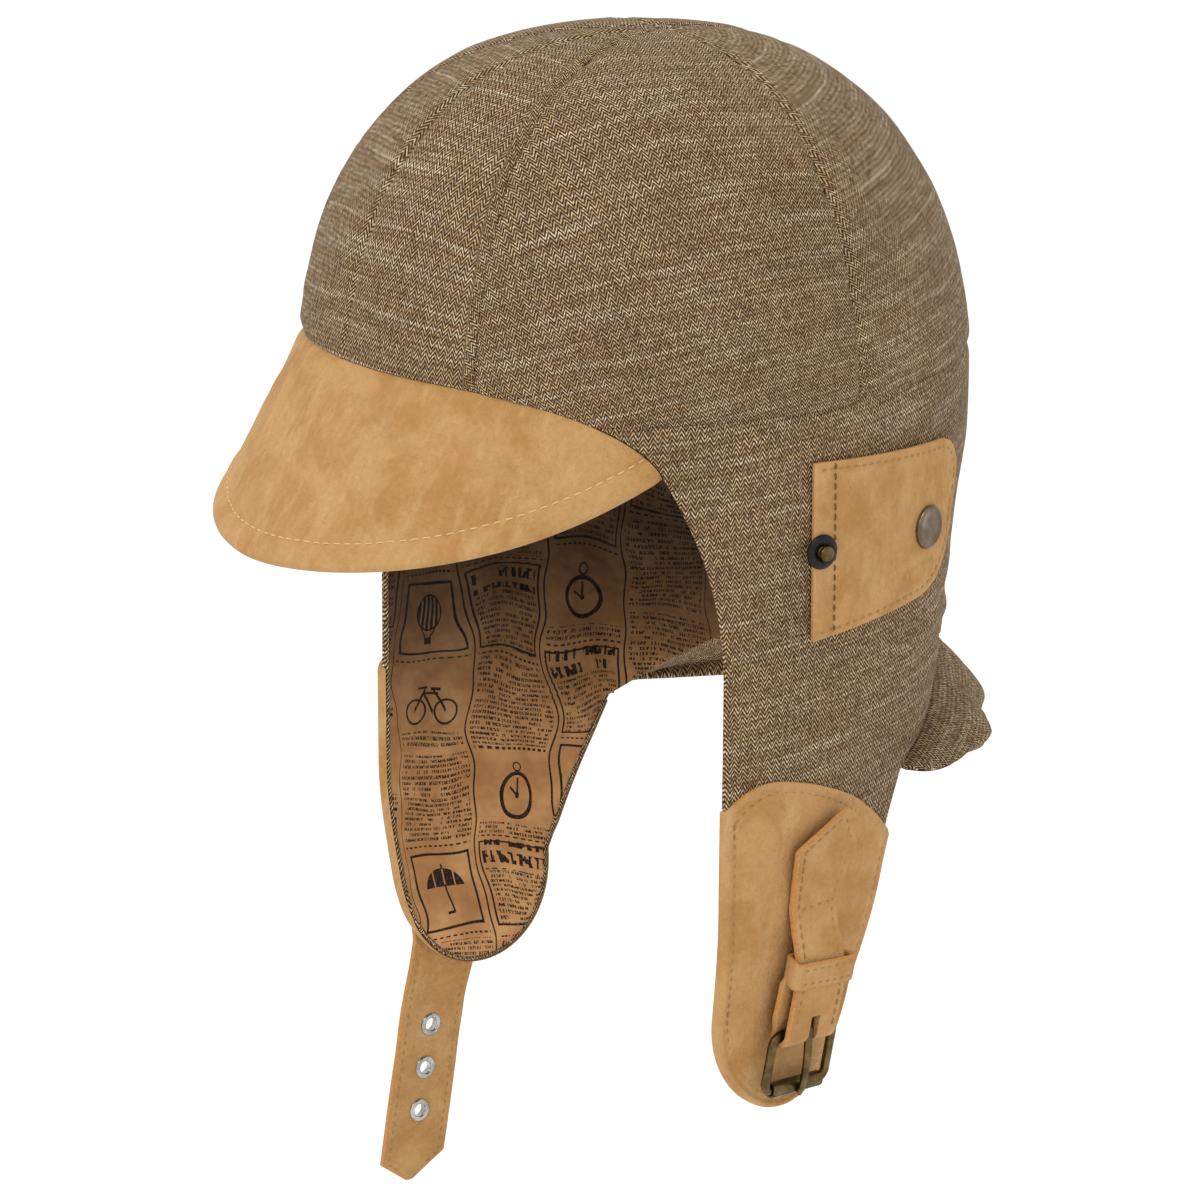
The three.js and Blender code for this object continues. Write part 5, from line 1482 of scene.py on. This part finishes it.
def makeProng():
    # a flat wire bent round the bar, its arm lying over the roller
    s = strap
    eye = barRadius + form["gap"] + s["prongThick"] / 2
    reach = -2 * topBar + s["roller"] - 0.2
    turn = np.radians(np.linspace(310, 90, s["prongRows"]))
    arm = np.linspace(0, reach, 36)[1:]
    seat = s["roller"] + 0.12 + s["prongThick"] / 2
    armOut = mix(eye, seat, ease(arm / (reach * 0.55))) + 0.35 * np.sin(arm / reach * math.pi)
    armOut -= 0.5 * ease((arm - reach * 0.85) / (reach * 0.15))
    a, o = np.concatenate([eye * np.cos(turn), arm]), np.concatenate([eye * np.sin(turn), armOut])
    run = directions(a, o)
    narrow = np.where(np.arange(len(a)) < s["prongRows"], 0, 0.25 * ease((a - reach * 0.3) / (reach * 0.7)))
    tip = np.sqrt(np.clip(1 - ((a - reach + 1.6) / 1.75) ** 2, 0.05, 1))
    half = s["prongWidth"] / 2 * (1 - narrow) * np.where(a > reach - 1.6, tip, 1)
    width, height = flatBand(half, s["prongThick"], 0.4)
    out = barOut + o[:, None] + run[:, :1] * height
    points, faces = tube(flapPlace(topBar + a[:, None] - run[:, 1:] * height, width, out))
    dress("buckle_tongue", points, faces, "antique_brass", body="prong", nodes=["buckle_prong"])


makeBuckleStrap()
makeKeeper()
makeBuckleFrame()
makeRoller()
makeProng()
print("buckle strap made")

# Chin strap with the eyelets, worked out on the left and mirrored
eyeletPiece = {
    "width": 24.0, "thickness": 1.9, "point": 7.0, "pointShare": 0.12, "bottom": -268.0, "top": -150.0,
    "angle": 81.0, "heights": [-218.3, -232.0, -245.7], "lean": 13.0, "twist": 6.0, "release": 8.0,
    "spread": 3.0, "haste": 3.2, "line": 2.4, "hole": 2.33, "rise": 0.2,
}


def eyeletAxes(z):
    # it follows the wall down to the flap's tip and then hangs free, turning a little
    s = eyeletPiece
    release = s["release"] - form["flapLength"]
    clear = patchFace + form["gap"]
    angle = np.full_like(z, s["angle"])
    lyingOut = faceNormal(wallFace, angle, z)
    lying = wallPoint(angle, z, -clear)
    parting = np.array([s["angle"]]), np.array([release])
    top, start = wallPoint(*parting, -clear)[0], faceNormal(wallFace, *parting)[0]
    share = np.clip((release - z) / (release - s["bottom"]), 0, 1)
    settled = ease(share * s["haste"])
    hanging = unit(np.stack([start[0] + 0 * z, start[1] + 0 * z, start[2] * (1 - settled)], -1))
    turn = -np.radians(s["twist"]) * settled
    cos, sin = np.cos(turn), np.sin(turn)
    x, y = hanging[:, 0], hanging[:, 1]
    hanging = np.stack([x * cos - y * sin, x * sin + y * cos, hanging[:, 2]], -1)
    free = np.stack([top[0] + s["spread"] * settled, top[1] - s["lean"] * share, z], -1)
    out = np.where((z >= release)[:, None], lyingOut, hanging)
    middle = np.where((z >= release)[:, None], lying, free)
    across = unit(np.stack([-out[:, 1], out[:, 0], 0 * z], -1))
    return middle, out, across


eyeletProfile = [
    (2.05, -0.95), (2.15, -1.2), (2.6, -1.42), (3.2, -1.38), (3.6, -1.15), (3.65, -0.9), (2.35, -0.85),
    (2.35, 0.85), (3.65, 0.9), (3.6, 1.15), (3.2, 1.38), (2.6, 1.42), (2.15, 1.2), (2.05, 0.95),
]


def eyeletHalf(z):
    # half of the strap's width, drawn in to a blunt point at the end
    s = eyeletPiece
    return s["width"] / 2 * mix(s["pointShare"], 1, np.clip((z - s["bottom"]) / s["point"], 0, 1))


def eyeletLift(across, z):
    # the middle of the strap over its axis, and the bend across its width where it hangs free
    s = eyeletPiece
    cup = 0.5 * (across / (s["width"] / 2)) ** 2 * ease((s["release"] - form["flapLength"] - z) / 20)
    return s["thickness"] / 2 - cup + s["rise"]


def makeEyeletStrap():
    s = eyeletPiece
    shoulder = s["bottom"] + s["point"]
    z = np.concatenate([np.linspace(s["top"], shoulder, 130), np.linspace(shoulder, s["bottom"], 16)[1:]])
    middle, out, across = eyeletAxes(z)
    half = eyeletHalf(z) - 0.12 + 0.12 * softNoise(z / 9, 0 * z, 221)
    width, height = flatBand(half, s["thickness"], 0.5)
    height = height + eyeletLift(width, z[:, None])
    rings = middle[:, None] + across[:, None] * width[..., None] + out[:, None] * height[..., None]
    points, faces = tube(rings)
    piece = dress("suede_eyelet_strap", points, faces, "suede", nodes=["eyelet_strap"], flipped=True)
    markEdges(piece, len(z) - 1)
    at, up, side = eyeletAxes(np.array(s["heights"]))
    places = [(m + n * s["thickness"] / 2, a, np.cross(n, a), n) for m, n, a in zip(at, up, side)]
    holes = [lathe([(s["hole"], -6), (s["hole"], 6)], place, 32) for place in places]
    carve(piece, [(points * [-1, 1, 1], faces) for points, faces in holes])
    for k, place in enumerate(places):
        points, faces = lathe(eyeletProfile, place, 40, True)
        dress(f"metal_eyelet_{k + 1}", points, faces, "nickel", nodes=[f"eyelet_{k + 1}"], flipped=True)
    runs = []
    line = np.linspace(s["top"] - 3, s["bottom"] + 4.2, 200)
    middle, out, across = eyeletAxes(line)
    for sign in (1, -1):
        c = np.maximum(eyeletHalf(line) - s["line"], 0.3) * sign
        for face in (1, -1):
            height = eyeletLift(c, line) + face * (s["thickness"] / 2 - 0.05)
            runs.append((middle + across * c[:, None] + out * height[:, None], out * face))
    addStitches("stitches_eyelet_strap", runs, flipped=True)


makeEyeletStrap()
print("eyelet strap made")

# Adjuster strap across the back
backPiece = {"width": 10.0, "height": -72.0, "end": 148.6, "lift": 0.5, "line": 3.2}


def backLift(angle):
    # it stands a little off the wall at the middle of the back
    s = backPiece
    return s["lift"] * np.sin((angle - s["end"]) / (180 - s["end"]) * math.pi / 2) ** 2


def makeBackStrap():
    s = backPiece
    angle = mix(s["end"], 360 - s["end"], crowded(110, 1.4))[:, None]
    z = s["height"] + s["width"] * (crowded(20, 1.6)[None] - 0.5)
    base = wallFace(angle, z)
    cut = edgeFall(nearest(base, outline(base)), 0.5)
    lift = backLift(angle)
    outer = wallPoint(angle, z, -form["gap"] - form["suede"] - lift + cut)
    inner = wallPoint(angle, z, -form["gap"] + 0.1 - lift - cut * 0.6)
    points, faces = shell(outer, inner)
    dress("suede_back_strap", points, faces, "suede", nodes=["back_strap"],
          finish=[finishes["suede"], cutSuede])
    runs = []
    line = np.linspace(s["end"] + 1.2, 360 - s["end"] - 1.2, 200)
    for height in (s["height"] - s["line"], s["height"] + s["line"]):
        sunk = -form["gap"] - form["suede"] - backLift(line) + 0.05
        runs.append((wallPoint(line, height, sunk), faceNormal(wallFace, line, height + 0 * line)))
    addStitches("stitches_back_strap", runs)


makeBackStrap()
print("back strap made")

# Stage: pale floor far below, white world, two soft lights, the photo's camera
studio = {
    "floorSize": 9.0, "floorHeight": -0.46, "floorTone": (0.98, 0.98, 0.98, 1), "world": 1.0,
    "lights": [("key", (0.3, -1.7, 1.5), 0.7, 9), ("top", (0.3, -0.5, 2.2), 1.0, 10)],
}
view = {"from": (1.4294, -0.9898, 0.4658), "to": (0.0073, -0.0173, -0.0590), "lens": 186.3, "sensor": 36.0}


def addFloor():
    size, height = studio["floorSize"], studio["floorHeight"]
    mesh = bpy.data.meshes.new("floor")
    corners = [(x * size, y * size, height) for x, y in ((-1, -1), (1, -1), (1, 1), (-1, 1))]
    mesh.from_pydata(corners, [], [(0, 1, 2, 3)])
    floor = bpy.data.objects.new("floor", mesh)
    bpy.context.scene.collection.objects.link(floor)
    mesh.materials.append(newFinish("pale floor", studio["floorTone"], 0.95)[0])


def addLight(name, place, size, power, target=(0, 0, -0.05)):
    data = bpy.data.lights.new(name, "AREA")
    data.shape, data.size, data.energy = "DISK", size, power
    lamp = bpy.data.objects.new(name, data)
    lamp.location = place
    lamp.rotation_euler = (Vector(target) - Vector(place)).to_track_quat("-Z", "Y").to_euler()
    bpy.context.scene.collection.objects.link(lamp)


def addCamera():
    data = bpy.data.cameras.new("camera")
    data.lens, data.sensor_width, data.sensor_fit = view["lens"], view["sensor"], "HORIZONTAL"
    data.clip_start, data.clip_end = 0.05, 60
    eye = bpy.data.objects.new("camera", data)
    eye.location = view["from"]
    eye.rotation_euler = (Vector(view["to"]) - Vector(view["from"])).to_track_quat("-Z", "Y").to_euler()
    bpy.context.scene.collection.objects.link(eye)
    bpy.context.scene.camera = eye


bpy.context.scene.view_settings.view_transform = "Standard"
world = bpy.data.worlds.new("studio")
world.use_nodes = True
world.node_tree.nodes["Background"].inputs["Color"].default_value = (1, 1, 1, 1)
world.node_tree.nodes["Background"].inputs["Strength"].default_value = studio["world"]
bpy.context.scene.world = world
addFloor()
for name, place, size, power in studio["lights"]:
    addLight(name, place, size, power)
addCamera()
print("stage made")
